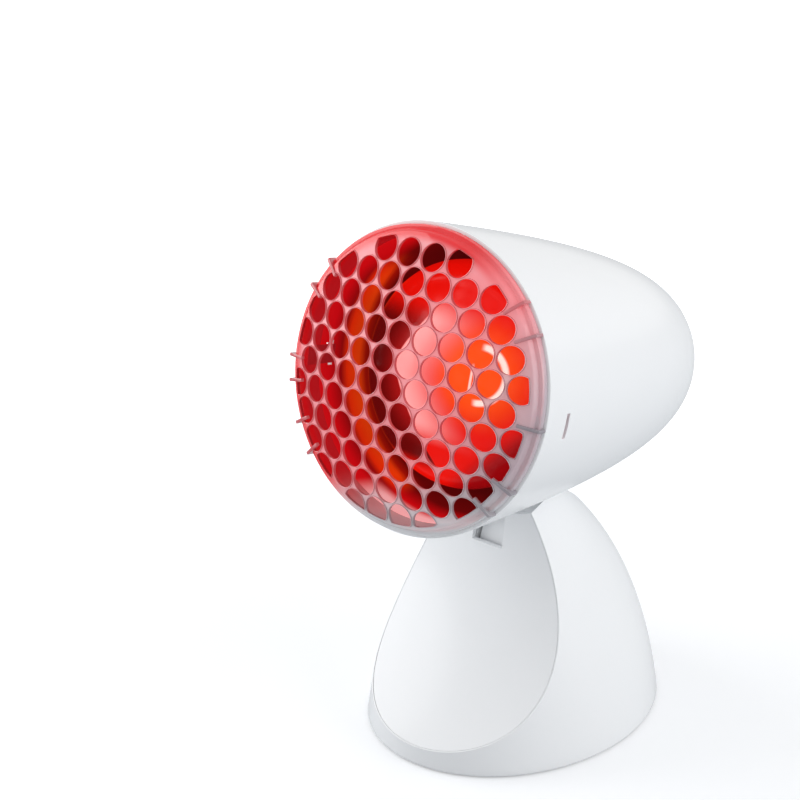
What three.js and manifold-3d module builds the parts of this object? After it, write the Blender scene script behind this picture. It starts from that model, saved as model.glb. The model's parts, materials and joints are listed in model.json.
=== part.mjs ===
// An infrared heat therapy lamp on a table stand, in millimetres.
// Its front looks along -Y, +X is on the right of someone facing it, and the floor is at z = 0.
import * as THREE from 'three';
import { mergeVertices } from 'three/addons/utils/BufferGeometryUtils.js';
import Module from 'manifold-3d';

const wasm = await Module();
wasm.setup();

// Head shell, measured along its axis from the mouth
const MOUTH_RADIUS = 64;
const HEAD_LENGTH = 172;
const HEAD_TAPER_POWER = 0.25;
const SHELL_WALL = 2.4;
const VENT_COUNT = 7;
const VENT_SPACING_DEGREES = 13;
const VENT_WIDTH = 3.2;
const VENT_START = 132;
const VENT_LENGTH = 24;

// Where the head lies from the tilt hinge, with the head level
const UNDERSIDE_ABOVE_HINGE = 25.42;
const MOUTH_BEFORE_HINGE = 95.4;
const REST_TILT_DEGREES = 13.4;
const TILT_DOWN_DEGREES = 10;
const TILT_UP_DEGREES = 30;
const TILT_STEP_DEGREES = 10;
const TILT_STEPS = 5;
const HINGE_BEHIND_CENTRE = 5;
const HINGE_HEIGHT = 80;
const HEAD_SWING_GAP = 1.2;

// Stand body: an ellipse on the floor that narrows and leans forward as it rises
const BASE_WIDTH = 120.8;
const BASE_DEPTH = 147.4;
const SIDE_VANISH_ABOVE_HINGE = 83.3;
const SIDE_CURVE_POWER = 1.16;
const BACK_VANISH_ABOVE_HINGE = 39.9;
const BACK_CURVE_POWER = 2.4;
const STAND_LIFT = 0.8;
const STAND_CUT_ABOVE_HINGE = 34;
const STAND_WALL = 2.6;

// Front panel: a hollow arc that sweeps up from the toe to the neck, crowned sideways
const PANEL_TOE_HEIGHT = 9.6;
const PANEL_NECK_ABOVE_HINGE = 13.7;
const PANEL_NECK_BEFORE_CENTRE = 21.3;
const PANEL_ARC_RADIUS = 115;
const PANEL_CROWN_RADIUS = 146;
const PANEL_THICKNESS = 2.4;
const PANEL_SEAM_INSET = 0.8;
const PANEL_ARC_FROM_DEGREES = -72;
const PANEL_ARC_TO_DEGREES = 14;
const NOTCH_SILL_ABOVE_HINGE = 6;
const SLOT_WIDTH = 16;

// Clearances
const FIT_GAP = 0.3;
const CUT_OVERRUN = 4;
const WELD_DISTANCE = 0.001;

// Base plate, feet and their screws
const PLATE_UNDERSIDE = 1.5;
const PLATE_THICKNESS = 2.4;
const FOOT_RADIUS = 7;
const FOOT_INSET = 16;
const FOOT_ANGLE_DEGREES = 48;
const POST_RADIUS = 4.2;
const POST_INSET = 9;
const POST_ANGLE_DEGREES = 28;
const POST_TOP = 18;
const SCREW_RADIUS = 1.4;
const SCREW_HEAD_RADIUS = 2.8;
const SCREW_HEAD_HEIGHT = 1.5;
const BASE_SCREW_LENGTH = 12;

// Tilt hinge
const DRUM_RADIUS = 23.6;
const DRUM_WIDTH = 13.6;
const NECK_LENGTH = 24;
const CHEEK_THICKNESS = 2.6;
const CHEEK_FRONT = 24;
const CHEEK_BACK = 30;
const CHEEK_FOOT_BELOW_HINGE = 36;
const PIN_RADIUS = 2.5;
const PIN_HEAD_RADIUS = 4.2;
const PIN_HEAD_THICKNESS = 2;
const PIN_END_STUB = 1.2;
const NUT_THICKNESS = 3;
const WASHER_RADIUS = 8;
const ARM_SCREW_LENGTH = 13;
const ARM_SCREW_SPREAD = 6.8;
const ARM_SCREW_BEFORE_HINGE = 6.5;
const LEAD_HOLE_RADIUS = 2.9;
const LEAD_HOLE_BEHIND_HINGE = 6.8;
const NOTCH_RADIUS = 1.6;
const NOTCH_DEPTH = 1;
const DETENT_DEGREES = 200;
const LEAF_THICKNESS = 0.6;
const LEAF_WIDTH = 8;
const LEAF_RISE = 4;
const BRIDGE_LENGTH = 6;
const BRIDGE_HEIGHT = 12;

// Rocker switch in the back of the stand
const SWITCH_HEIGHT = 36;
const SWITCH_SEAT_DEPTH = 1.9;
const BEZEL_WIDTH = 15;
const BEZEL_HEIGHT = 21;
const BEZEL_THICKNESS = 2;
const BEZEL_RIM = 1.2;
const SWITCH_BODY_WIDTH = 12.6;
const SWITCH_BODY_HEIGHT = 18.6;
const SWITCH_BODY_DEPTH = 14;
const SWITCH_PAD_THICKNESS = 3;
const SWITCH_PAD_BORDER = 2.5;
const ROCKER_THROW_DEGREES = 16;
const ROCKER_PIVOT_DEPTH = 2;
const ROCKER_WIDTH = 9.4;
const ROCKER_LENGTH = 15;
const ROCKER_BODY_DEPTH = 3;
const ROCKER_VALLEY_RISE = 2.6;
const ROCKER_END_RISE = 3.6;
const WELL_DEPTH = 8;

// Cord gland in the back of the stand
const GLAND_HEIGHT = 13;
const GLAND_BORE_RADIUS = 3.4;
const GLAND_NECK_RADIUS = 5;
const GLAND_FLANGE_RADIUS = 7.6;
const GLAND_FLANGE_THICKNESS = 2.4;
const GLAND_SEAT_DEPTH = 1.1;
const GLAND_NECK_LENGTH = 8;
const GLAND_NUT_RADIUS = 7;
const GLAND_NUT_THICKNESS = 3;

// Terminal block and leads
const BLOCK_WIDTH = 24;
const BLOCK_DEPTH = 14;
const BLOCK_HEIGHT = 12;
const BLOCK_BEHIND_CENTRE = 34;
const BLOCK_POLE_SPREAD = 12;
const LEAD_RADIUS = 1;
const LEAD_SPREAD = 2.6;
const LEAD_STEPS = 14;
const HEAD_LEAD_STEPS = 28;

// Lampholder, on a plate across the head
const HOLDER_PLATE_START = 128.3;
const HOLDER_PLATE_THICKNESS = 1.2;
const HOLDER_PLATE_CLEARANCE = 3.95;
const HOLDER_RADIUS = 20;
const HOLDER_BACK_RADIUS = 17;
const HOLDER_START = 122.4;
const HOLDER_LENGTH = 40;
const HOLDER_COLLAR_RADIUS = 24;
const HOLDER_COLLAR_THICKNESS = 2.4;
const HOLDER_RING_THICKNESS = 4;
const HOLDER_FLOOR_THICKNESS = 6;
const HOLDER_POST_RADIUS = 3.6;
const HOLDER_POST_COUNT = 3;
const HOLDER_SCREW_LENGTH = 9;
const LEAD_PORT_RADIUS = 4.2;
const THREAD_SLEEVE_WALL = 0.4;
const SPRING_THICKNESS = 0.6;
const SPRING_WIDTH = 7;
const SPRING_LENGTH = 16;

// Bulb, an R95 reflector lamp with an E27 cap
const BULB_RADIUS = 47.5;
const BULB_FACE_START = 12;
const BULB_FACE_SAG = 9;
const BULB_SHOULDER_LENGTH = 8;
const BULB_WIDEST_START = 31;
const BULB_BOWL_LENGTH = 70;
const BULB_NECK_RADIUS = 15;
const BULB_NECK_LENGTH = 19;
const BULB_SWELL_POWER = 1.15;
const BULB_GLASS_WALL = 1;
const CAP_RADIUS = 13.1;
const CAP_LENGTH = 25;
const CAP_WALL = 0.5;
const CAP_THREAD_TURNS = 3;
const CAP_THREAD_DEPTH = 0.5;
const INSULATOR_THICKNESS = 3;
const CONTACT_RADIUS = 5;
const CONTACT_THICKNESS = 1.4;
const STEM_RADIUS = 5;
const STEM_LENGTH = 38;
const FILAMENT_RADIUS = 0.8;
const FILAMENT_SPAN = 26;
const FILAMENT_DROOP = 5;
const SUPPORT_RADIUS = 0.6;
const SUPPORT_LENGTH = 18;

// Clear guard over the mouth
const DOME_RISE = 17;
const DOME_DROP = 13;
const DOME_THICKNESS = 2.2;
const HOLE_PITCH = 12.2;
const HOLE_RADIUS = 5.6;
const RIM_SETBACK = 1.4;
const RIM_LEDGE_WIDTH = 2;
const RIM_BAND_WIDTH = 5.1;
const RIM_THICKNESS = 3;
const RIM_STEP = 2;
const SKIRT_DEPTH = 8;
const SKIRT_WALL = 1.6;
const RIB_WIDTH = 1.4;
const RIB_LENGTH = 8;
const RIB_OVERHANG = 1.6;
const RIB_RISE = 1.4;
const RIB_PAIR_DEGREES = 12.5;
const RIB_PAIRS_AT_DEGREES = [54, 126, 234, 306];
const LATCH_DEGREES = 94;
const LATCH_WIDTH = 8;
const LATCH_HOOK_START = 15.6;
const LATCH_HOOK_HEIGHT = 1.8;
const LATCH_HOOK_REACH = 1.1;
const SLIT_LENGTH = 10.5;
const SLIT_HEIGHT = 2.4;

// Sides and steps of the round shapes
const HEAD_SIDES = 40;
const HEAD_STEPS = 11;
const BODY_SIDES = 40;
const BODY_STEPS = 8;
const SWEEP_SIDES = 32;
const ROUND_SIDES = 24;
const BULB_SIDES = 20;
const DOME_SIDES = 16;
const DOME_STEPS = 3;
const SMALL_SIDES = 12;
const HOLE_SIDES = 8;
const HEX_SIDES = 6;

// Places that follow from these sizes
const axisAboveHinge = headRadius(MOUTH_BEFORE_HINGE) + UNDERSIDE_ABOVE_HINGE;
const sideVanishHeight = HINGE_HEIGHT + SIDE_VANISH_ABOVE_HINGE;
const backVanishHeight = HINGE_HEIGHT + BACK_VANISH_ABOVE_HINGE;
const standCutHeight = HINGE_HEIGHT + STAND_CUT_ABOVE_HINGE;
const panelNeckHeight = HINGE_HEIGHT + PANEL_NECK_ABOVE_HINGE;
const notchSillHeight = HINGE_HEIGHT + NOTCH_SILL_ABOVE_HINGE;
const cheekFootHeight = HINGE_HEIGHT - CHEEK_FOOT_BELOW_HINGE;
const holderPlateEnd = HOLDER_PLATE_START + HOLDER_PLATE_THICKNESS;
const holderPlateRadius = headRadius(holderPlateEnd, SHELL_WALL) - HOLDER_PLATE_CLEARANCE;
const holderPostOffset = (HOLDER_COLLAR_RADIUS + holderPlateRadius) / 2;
const rimRadius = MOUTH_RADIUS - RIM_SETBACK;
const ledgeRadius = rimRadius - RIM_LEDGE_WIDTH;
const holeFieldRadius = rimRadius - RIM_BAND_WIDTH;

const degrees = THREE.MathUtils.degToRad;
const point = (x, y, z) => new THREE.Vector3(x, y, z);
const place = (x, y, z) => new THREE.Matrix4().makeTranslation(x, y, z);
const turnX = (angle) => new THREE.Matrix4().makeRotationX(angle);
const turnY = (angle) => new THREE.Matrix4().makeRotationY(angle);

// Materials
const plastic = (color, roughness) => new THREE.MeshStandardMaterial({ color, roughness, metalness: 0 });
const metal = (color, roughness) => new THREE.MeshStandardMaterial({ color, roughness, metalness: 1 });
const whitePlastic = plastic(0xf2f4f6, 0.25);
const warmWhite = plastic(0xe9e9e6, 0.5);
const clearPlastic = new THREE.MeshStandardMaterial({
  color: 0xf6dfe2, roughness: 0.08, metalness: 0, transparent: true, opacity: 0.35,
});
const redGlass = plastic(0xd20a04, 0.12);
const blackPlastic = plastic(0x1c1c1e, 0.4);
const rubber = plastic(0x3a3b3d, 0.85);
const ceramic = plastic(0xeeeae0, 0.35);
const steel = metal(0xb9bcc0, 0.35);
const brass = metal(0xc9a24a, 0.3);
const copperLead = plastic(0x8a3c1e, 0.6);
const neutralLead = plastic(0x2c4f9c, 0.6);
const leadKinds = [['live', -1, copperLead], ['neutral', 1, neutralLead]];

// Turn a closed geometry into a solid that can be joined and cut
function solid(geometry) {
  const bare = geometry.clone();
  bare.deleteAttribute('normal');
  bare.deleteAttribute('uv');
  const merged = mergeVertices(bare, WELD_DISTANCE);
  const position = merged.attributes.position;
  const corners = merged.index.array;
  const triangles = [];
  const [a, b, c] = [point(0, 0, 0), point(0, 0, 0), point(0, 0, 0)];
  let volume = 0;
  for (let i = 0; i < corners.length; i += 3) {
    const [p, q, r] = [corners[i], corners[i + 1], corners[i + 2]];
    if (p === q || q === r || r === p) continue;
    a.fromBufferAttribute(position, p);
    b.fromBufferAttribute(position, q);
    c.fromBufferAttribute(position, r);
    volume += a.dot(b.cross(c));
    triangles.push(p, q, r);
  }
  if (volume < 0) triangles.reverse();
  return new wasm.Manifold(new wasm.Mesh({
    numProp: 3,
    vertProperties: new Float32Array(position.array),
    triVerts: new Uint32Array(triangles),
  }));
}

const union = (...solids) => solids.reduce((sum, next) => sum.add(next));
const cut = (body, ...tools) => tools.reduce((rest, tool) => rest.subtract(tool), body);

function geometryOf(body) {
  const mesh = body.getMesh();
  const geometry = new THREE.BufferGeometry();
  geometry.setAttribute('position', new THREE.BufferAttribute(mesh.vertProperties, 3));
  geometry.setIndex(new THREE.BufferAttribute(mesh.triVerts, 1));
  geometry.computeVertexNormals();
  return geometry;
}

function addPiece(parent, name, body, material) {
  const mesh = new THREE.Mesh(geometryOf(body), material);
  mesh.name = name;
  parent.add(mesh);
  return mesh;
}

// Box from its lowest to its highest corner
function boxBetween(low, high) {
  const geometry = new THREE.BoxGeometry(high[0] - low[0], high[1] - low[1], high[2] - low[2]);
  geometry.translate((low[0] + high[0]) / 2, (low[1] + high[1]) / 2, (low[2] + high[2]) / 2);
  return solid(geometry);
}

// Rod along Y from one depth to another
function rodAlongY(radius, from, to, x = 0, z = 0, sides = SMALL_SIDES) {
  const geometry = new THREE.CylinderGeometry(radius, radius, to - from, sides);
  geometry.translate(x, (from + to) / 2, z);
  return solid(geometry);
}

function rodAlongX(radius, from, to, y = 0, z = 0, sides = ROUND_SIDES) {
  const geometry = new THREE.CylinderGeometry(radius, radius, to - from, sides);
  geometry.rotateZ(-Math.PI / 2);
  geometry.translate((from + to) / 2, y, z);
  return solid(geometry);
}

function rodAlongZ(radius, from, to, x = 0, y = 0, sides = SMALL_SIDES) {
  const geometry = new THREE.CylinderGeometry(radius, radius, to - from, sides);
  geometry.rotateX(Math.PI / 2);
  geometry.translate(x, y, (from + to) / 2);
  return solid(geometry);
}

// Turned shape about Y, from pairs of radius and depth
function turned(pairs, sides = ROUND_SIDES) {
  const outline = pairs.map(([radius, depth]) => new THREE.Vector2(Math.max(radius, 0), depth));
  return solid(new THREE.LatheGeometry(outline, sides));
}

// Closed body through rings that hold equally many points
function loft(rings) {
  const count = rings[0].length;
  const positions = rings.flat().flatMap((p) => [p.x, p.y, p.z]);
  const index = [];
  for (let r = 0; r + 1 < rings.length; r += 1) {
    for (let i = 0; i < count; i += 1) {
      const next = (i + 1) % count;
      const low = r * count;
      const high = low + count;
      index.push(low + i, low + next, high + next, low + i, high + next, high + i);
    }
  }
  [0, rings.length - 1].forEach((r, isEnd) => {
    const centre = rings[r].reduce((sum, p) => sum.add(p), point(0, 0, 0)).divideScalar(count);
    const hub = positions.length / 3;
    positions.push(centre.x, centre.y, centre.z);
    for (let i = 0; i < count; i += 1) {
      const edge = [r * count + i, r * count + ((i + 1) % count)];
      if (!isEnd) edge.reverse();
      index.push(hub, ...edge);
    }
  });
  const geometry = new THREE.BufferGeometry();
  geometry.setAttribute('position', new THREE.Float32BufferAttribute(positions, 3));
  geometry.setIndex(index);
  return solid(geometry);
}

// Flat outline in the Y-Z plane, drawn out along X
function slabAcrossX(outline, halfWidth) {
  const shape = new THREE.Shape(outline.map(([y, z]) => new THREE.Vector2(y, z)));
  const geometry = new THREE.ExtrudeGeometry(shape, { depth: 2 * halfWidth, bevelEnabled: false });
  geometry.translate(0, 0, -halfWidth);
  geometry.applyMatrix4(new THREE.Matrix4().makeBasis(point(0, 1, 0), point(0, 0, 1), point(1, 0, 0)));
  return solid(geometry);
}

// Round wire along a smooth route
function wire(route, radius, steps) {
  const section = new THREE.Shape();
  section.absarc(0, 0, radius, 0, 2 * Math.PI);
  const geometry = new THREE.ExtrudeGeometry(section, {
    steps, curveSegments: 3, extrudePath: new THREE.CatmullRomCurve3(route.map((p) => point(...p))),
  });
  return solid(geometry);
}

// Screw whose head's top is at zero, with its point towards +Y
function screw(length) {
  const end = SCREW_HEAD_HEIGHT + length;
  return turned([
    [0, 0], [SCREW_HEAD_RADIUS, 0], [SCREW_HEAD_RADIUS, SCREW_HEAD_HEIGHT],
    [SCREW_RADIUS, SCREW_HEAD_HEIGHT], [SCREW_RADIUS, end - SCREW_RADIUS], [0, end],
  ], SMALL_SIDES);
}

const moved = (body, matrix) => body.transform(matrix.elements);

// Head radius at a distance behind the mouth, with the whole shape drawn in by an inset
function headRadius(behind, inset = 0) {
  const share = Math.max(0, 1 - behind / (HEAD_LENGTH - inset));
  return (MOUTH_RADIUS - inset) * share ** HEAD_TAPER_POWER;
}

// Points of the head's outline from the mouth to the tip, closer together where it curves most
function headOutline(inset) {
  const outline = [];
  for (let i = 0; i <= HEAD_STEPS; i += 1) {
    const behind = (HEAD_LENGTH - inset) * Math.sin((Math.PI / 2) * (i / HEAD_STEPS)) ** 2;
    outline.push([i === HEAD_STEPS ? 0 : headRadius(behind, inset), behind]);
  }
  return outline;
}

function headSolid(inset, sides = HEAD_SIDES) {
  return turned([[0, 0], ...headOutline(inset)], sides);
}

// Half width of the stand, and how far its back lies behind the centre, at a height
const standHalfWidth = (z) => (BASE_WIDTH / 2) * (1 - (z / sideVanishHeight) ** SIDE_CURVE_POWER);
const standBack = (z) => (BASE_DEPTH / 2) * (1 - (z / backVanishHeight) ** BACK_CURVE_POWER);

// From the frame of the head's axis, where Y runs back from the mouth, to the frame of the hinge
const axisToHinge = place(0, -MOUTH_BEFORE_HINGE, axisAboveHinge);
const hingePlace = place(0, HINGE_BEHIND_CENTRE, HINGE_HEIGHT);

// Least distance from the hinge to the underside of the head, at a distance to one side
function undersideRadius(x, gap) {
  const samples = 200;
  let least = Infinity;
  for (let i = 0; i < samples; i += 1) {
    const behind = (HEAD_LENGTH * i) / samples;
    const radius = headRadius(behind);
    if (radius <= Math.abs(x)) continue;
    const height = axisAboveHinge - Math.sqrt(radius ** 2 - x ** 2);
    least = Math.min(least, Math.hypot(behind - MOUTH_BEFORE_HINGE, height));
  }
  return least - gap;
}

// Space that the head sweeps over the stand, from its lowest to its highest tilt
function headSweep(gap) {
  const reach = axisAboveHinge;
  const lowest = REST_TILT_DEGREES - TILT_DOWN_DEGREES;
  const highest = REST_TILT_DEGREES + TILT_UP_DEGREES;
  const half = standHalfWidth(HINGE_HEIGHT) + CUT_OVERRUN;
  const steps = 12;
  const arcSteps = 6;
  const rings = [];
  for (let i = 0; i <= steps; i += 1) {
    const x = -half + (2 * half * i) / steps;
    const near = undersideRadius(x, gap);
    const ring = [];
    for (const [radius, from, to] of [[near, lowest, highest], [reach, highest, lowest]]) {
      for (let k = 0; k <= arcSteps; k += 1) {
        const angle = degrees(from + ((to - from) * k) / arcSteps);
        ring.push(point(x, radius * Math.sin(angle), radius * Math.cos(angle)));
      }
    }
    rings.push(ring);
  }
  const ends = [lowest, highest].map((tilt) => (
    moved(moved(headSolid(-gap, SWEEP_SIDES), axisToHinge), turnX(-degrees(tilt)))
  ));
  return moved(union(loft(rings), ...ends), hingePlace);
}

function standBody(inset, bottom = STAND_LIFT) {
  const heights = [];
  for (let r = 0; r <= BODY_STEPS; r += 1) {
    heights.push(STAND_LIFT + (standCutHeight - STAND_LIFT) * (r / BODY_STEPS));
  }
  if (bottom < STAND_LIFT) heights.unshift(bottom);
  return loft(heights.map((z) => {
    const section = Math.max(z, STAND_LIFT);
    const halfWidth = standHalfWidth(section) - inset;
    const middle = standBack(section) - BASE_DEPTH / 2;
    const ring = [];
    for (let i = 0; i < BODY_SIDES; i += 1) {
      const angle = (2 * Math.PI * i) / BODY_SIDES;
      const y = middle + (BASE_DEPTH / 2 - inset) * Math.sin(angle);
      ring.push(point(halfWidth * Math.cos(angle), y, z));
    }
    return ring;
  }));
}

// Centre of the front panel's arc, found from the toe, the neck and the radius
const panelToe = new THREE.Vector2(-BASE_DEPTH / 2, PANEL_TOE_HEIGHT);
const panelNeck = new THREE.Vector2(-PANEL_NECK_BEFORE_CENTRE, panelNeckHeight);
const panelChord = panelNeck.clone().sub(panelToe);
const panelArcCentre = panelToe.clone().lerp(panelNeck, 1 / 2).add(
  new THREE.Vector2(-panelChord.y, panelChord.x).normalize().multiplyScalar(
    Math.sqrt(PANEL_ARC_RADIUS ** 2 - (panelChord.length() / 2) ** 2),
  ),
);

// Everything in front of the panel's face, with the face moved back by a depth
function beforePanel(depth) {
  const arcDegrees = PANEL_ARC_TO_DEGREES - PANEL_ARC_FROM_DEGREES;
  const arcSteps = 13;
  const crossSteps = 10;
  const halfSpan = BASE_WIDTH / 2 + CUT_OVERRUN;
  const front = -BASE_DEPTH;
  const rings = [];
  for (let i = 0; i <= crossSteps; i += 1) {
    const x = -halfSpan + (2 * halfSpan * i) / crossSteps;
    const crown = depth + x ** 2 / (2 * PANEL_CROWN_RADIUS);
    const ring = [];
    for (let k = 0; k <= arcSteps; k += 1) {
      const angle = degrees(PANEL_ARC_FROM_DEGREES + (arcDegrees * k) / arcSteps);
      const y = panelArcCentre.x + PANEL_ARC_RADIUS * Math.cos(angle) + crown;
      ring.push(point(x, y, panelArcCentre.y + PANEL_ARC_RADIUS * Math.sin(angle)));
    }
    ring.push(point(x, front, ring[arcSteps].z), point(x, front, ring[0].z - PANEL_TOE_HEIGHT));
    rings.push(ring);
  }
  return loft(rings);
}

// Frame of the rocker switch: its Y looks out of the sloping back wall
const switchRise = BEZEL_HEIGHT / 2;
const switchLean = Math.atan2(
  standBack(SWITCH_HEIGHT - switchRise) - standBack(SWITCH_HEIGHT + switchRise), BEZEL_HEIGHT,
);
const switchFrame = place(0, standBack(SWITCH_HEIGHT), SWITCH_HEIGHT)
  .multiply(turnX(switchLean))
  .multiply(place(0, -SWITCH_SEAT_DEPTH, 0));
const glandSeat = standBack(GLAND_HEIGHT) - GLAND_SEAT_DEPTH;

// Four places on an ellipse inside the foot of the stand
function aroundBase(inset, angleDegrees) {
  return [angleDegrees, 180 - angleDegrees, 180 + angleDegrees, 360 - angleDegrees].map((angle) => [
    (BASE_WIDTH / 2 - inset) * Math.cos(degrees(angle)),
    (BASE_DEPTH / 2 - inset) * Math.sin(degrees(angle)),
  ]);
}

const posts = aroundBase(POST_INSET, POST_ANGLE_DEGREES);
const feet = aroundBase(FOOT_INSET, FOOT_ANGLE_DEGREES);
const plateTop = PLATE_UNDERSIDE + PLATE_THICKNESS;
const cheekInner = SLOT_WIDTH / 2;
const cheekOuter = cheekInner + CHEEK_THICKNESS;
const pinHole = PIN_RADIUS + FIT_GAP;
const screwHole = SCREW_RADIUS + FIT_GAP;

// The slot in the stand clears the ends of the arm's neck, where they meet the head
const neckEndRadius = headRadius(MOUTH_BEFORE_HINGE + NECK_LENGTH / 2);
const neckEndHeight = axisAboveHinge - Math.sqrt(neckEndRadius ** 2 - (DRUM_WIDTH / 2) ** 2);
const neckReach = Math.hypot(NECK_LENGTH / 2, neckEndHeight);
const slotRadius = (neckReach + HEAD_SWING_GAP) / Math.cos(Math.PI / ROUND_SIDES);

// Leaf spring's line, just in front of the hinge's drum
const detentAngle = degrees(DETENT_DEGREES);
const detentReach = DRUM_RADIUS + FIT_GAP;
const detentTip = [
  HINGE_BEHIND_CENTRE + detentReach * Math.cos(detentAngle),
  HINGE_HEIGHT + detentReach * Math.sin(detentAngle),
];
const leafFace = detentTip[0] - LEAF_THICKNESS - NOTCH_DEPTH;
const bridgeTop = cheekFootHeight + BRIDGE_HEIGHT;
const bridgeMiddle = cheekFootHeight + BRIDGE_HEIGHT / 2;
const bridgeBack = leafFace - FIT_GAP;

function standShell() {
  const sweep = headSweep(HEAD_SWING_GAP);
  const outside = cut(standBody(0), beforePanel(0), sweep);
  const rebate = standBody(PANEL_SEAM_INSET).intersect(beforePanel(PANEL_THICKNESS + FIT_GAP));
  const hollow = cut(standBody(STAND_WALL, STAND_LIFT - CUT_OVERRUN), headSweep(HEAD_SWING_GAP + STAND_WALL));
  const skin = cut(outside, rebate, hollow);
  const inside = cut(
    standBody(STAND_WALL / 2), beforePanel(PANEL_THICKNESS + 2 * FIT_GAP), sweep,
  );
  const cheeks = [-1, 1].map((side) => {
    const [low, high] = [side * cheekInner, side * cheekOuter].sort((p, q) => p - q);
    return boxBetween(
      [low, HINGE_BEHIND_CENTRE - CHEEK_FRONT - BRIDGE_LENGTH / 2, cheekFootHeight],
      [high, HINGE_BEHIND_CENTRE + CHEEK_BACK, standCutHeight],
    );
  });
  const bridge = boxBetween(
    [-cheekOuter, bridgeBack - BRIDGE_LENGTH, cheekFootHeight],
    [cheekOuter, bridgeBack, bridgeTop],
  );
  const columns = posts.map(([x, y]) => rodAlongZ(POST_RADIUS, plateTop + FIT_GAP, POST_TOP, x, y));
  const padHalfWidth = BEZEL_WIDTH / 2 + SWITCH_PAD_BORDER;
  const padHalfHeight = BEZEL_HEIGHT / 2 + SWITCH_PAD_BORDER;
  const pad = moved(boxBetween(
    [-padHalfWidth, -SWITCH_PAD_THICKNESS, -padHalfHeight],
    [padHalfWidth, SWITCH_SEAT_DEPTH, padHalfHeight],
  ), switchFrame);
  const glandPad = rodAlongY(
    GLAND_FLANGE_RADIUS + FIT_GAP, glandSeat - STAND_WALL, standBack(GLAND_HEIGHT), 0, GLAND_HEIGHT,
  );
  const fittings = union(...cheeks, bridge, ...columns, pad, glandPad).intersect(inside);
  const switchSeat = moved(union(
    boxBetween(
      [-BEZEL_WIDTH / 2 - FIT_GAP, 0, -BEZEL_HEIGHT / 2 - FIT_GAP],
      [BEZEL_WIDTH / 2 + FIT_GAP, CUT_OVERRUN, BEZEL_HEIGHT / 2 + FIT_GAP],
    ),
    boxBetween(
      [-SWITCH_BODY_WIDTH / 2 - FIT_GAP, -SWITCH_BODY_DEPTH, -SWITCH_BODY_HEIGHT / 2 - FIT_GAP],
      [SWITCH_BODY_WIDTH / 2 + FIT_GAP, CUT_OVERRUN, SWITCH_BODY_HEIGHT / 2 + FIT_GAP],
    ),
  ), switchFrame);
  const slot = rodAlongX(slotRadius, -cheekInner, cheekInner, HINGE_BEHIND_CENTRE, HINGE_HEIGHT)
    .intersect(boxBetween(
      [-cheekInner, -BASE_DEPTH, bridgeTop],
      [cheekInner, BASE_DEPTH, standCutHeight],
    ));
  const glandEnd = glandSeat + CUT_OVERRUN;
  const neckBack = glandSeat - GLAND_NECK_LENGTH;
  const pinEnd = cheekOuter + CUT_OVERRUN;
  const bridgeFront = bridgeBack - BRIDGE_LENGTH;
  return cut(
    skin.add(fittings),
    slot,
    switchSeat,
    rodAlongY(GLAND_FLANGE_RADIUS + FIT_GAP, glandSeat, glandEnd, 0, GLAND_HEIGHT),
    rodAlongY(GLAND_NECK_RADIUS + FIT_GAP, neckBack, glandEnd, 0, GLAND_HEIGHT),
    rodAlongX(pinHole, -pinEnd, pinEnd, HINGE_BEHIND_CENTRE, HINGE_HEIGHT),
    rodAlongY(screwHole, bridgeFront - CUT_OVERRUN, bridgeBack + CUT_OVERRUN, 0, bridgeMiddle),
    ...posts.map(([x, y]) => rodAlongZ(screwHole, 0, POST_TOP - STAND_WALL, x, y)),
  );
}

function frontPanel() {
  const sheet = standBody(PANEL_SEAM_INSET + FIT_GAP).intersect(beforePanel(PANEL_THICKNESS));
  const notch = boxBetween(
    [-SLOT_WIDTH / 2, -BASE_DEPTH, notchSillHeight],
    [SLOT_WIDTH / 2, BASE_DEPTH, standCutHeight],
  );
  return cut(sheet, beforePanel(0), headSweep(HEAD_SWING_GAP), notch);
}

function basePlate() {
  const sheet = standBody(STAND_WALL + FIT_GAP, 0).intersect(boxBetween(
    [-BASE_WIDTH, -BASE_DEPTH, PLATE_UNDERSIDE], [BASE_WIDTH, BASE_DEPTH, plateTop],
  ));
  const sink = PLATE_UNDERSIDE + SCREW_HEAD_HEIGHT;
  return cut(
    sheet,
    ...posts.map(([x, y]) => rodAlongZ(screwHole, 0, POST_TOP, x, y)),
    ...posts.map(([x, y]) => rodAlongZ(SCREW_HEAD_RADIUS + FIT_GAP, 0, sink, x, y)),
  );
}

function switchHousing() {
  const bezel = boxBetween(
    [-BEZEL_WIDTH / 2, 0, -BEZEL_HEIGHT / 2],
    [BEZEL_WIDTH / 2, BEZEL_THICKNESS, BEZEL_HEIGHT / 2],
  );
  const body = boxBetween(
    [-SWITCH_BODY_WIDTH / 2, -SWITCH_BODY_DEPTH, -SWITCH_BODY_HEIGHT / 2],
    [SWITCH_BODY_WIDTH / 2, BEZEL_THICKNESS, SWITCH_BODY_HEIGHT / 2],
  );
  const wellWidth = SWITCH_BODY_WIDTH - 2 * BEZEL_RIM;
  const wellHeight = SWITCH_BODY_HEIGHT - 2 * BEZEL_RIM;
  const well = boxBetween(
    [-wellWidth / 2, -WELL_DEPTH, -wellHeight / 2],
    [wellWidth / 2, BEZEL_THICKNESS + CUT_OVERRUN, wellHeight / 2],
  );
  return cut(union(bezel, body), well);
}

// Rocker about its own pivot, with a shallow valley across its middle
function switchRocker() {
  const half = ROCKER_LENGTH / 2;
  return slabAcrossX([
    [-ROCKER_BODY_DEPTH, -half / 2], [ROCKER_END_RISE, -half], [ROCKER_VALLEY_RISE, 0],
    [ROCKER_END_RISE, half], [-ROCKER_BODY_DEPTH, half / 2],
  ], ROCKER_WIDTH / 2);
}

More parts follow.
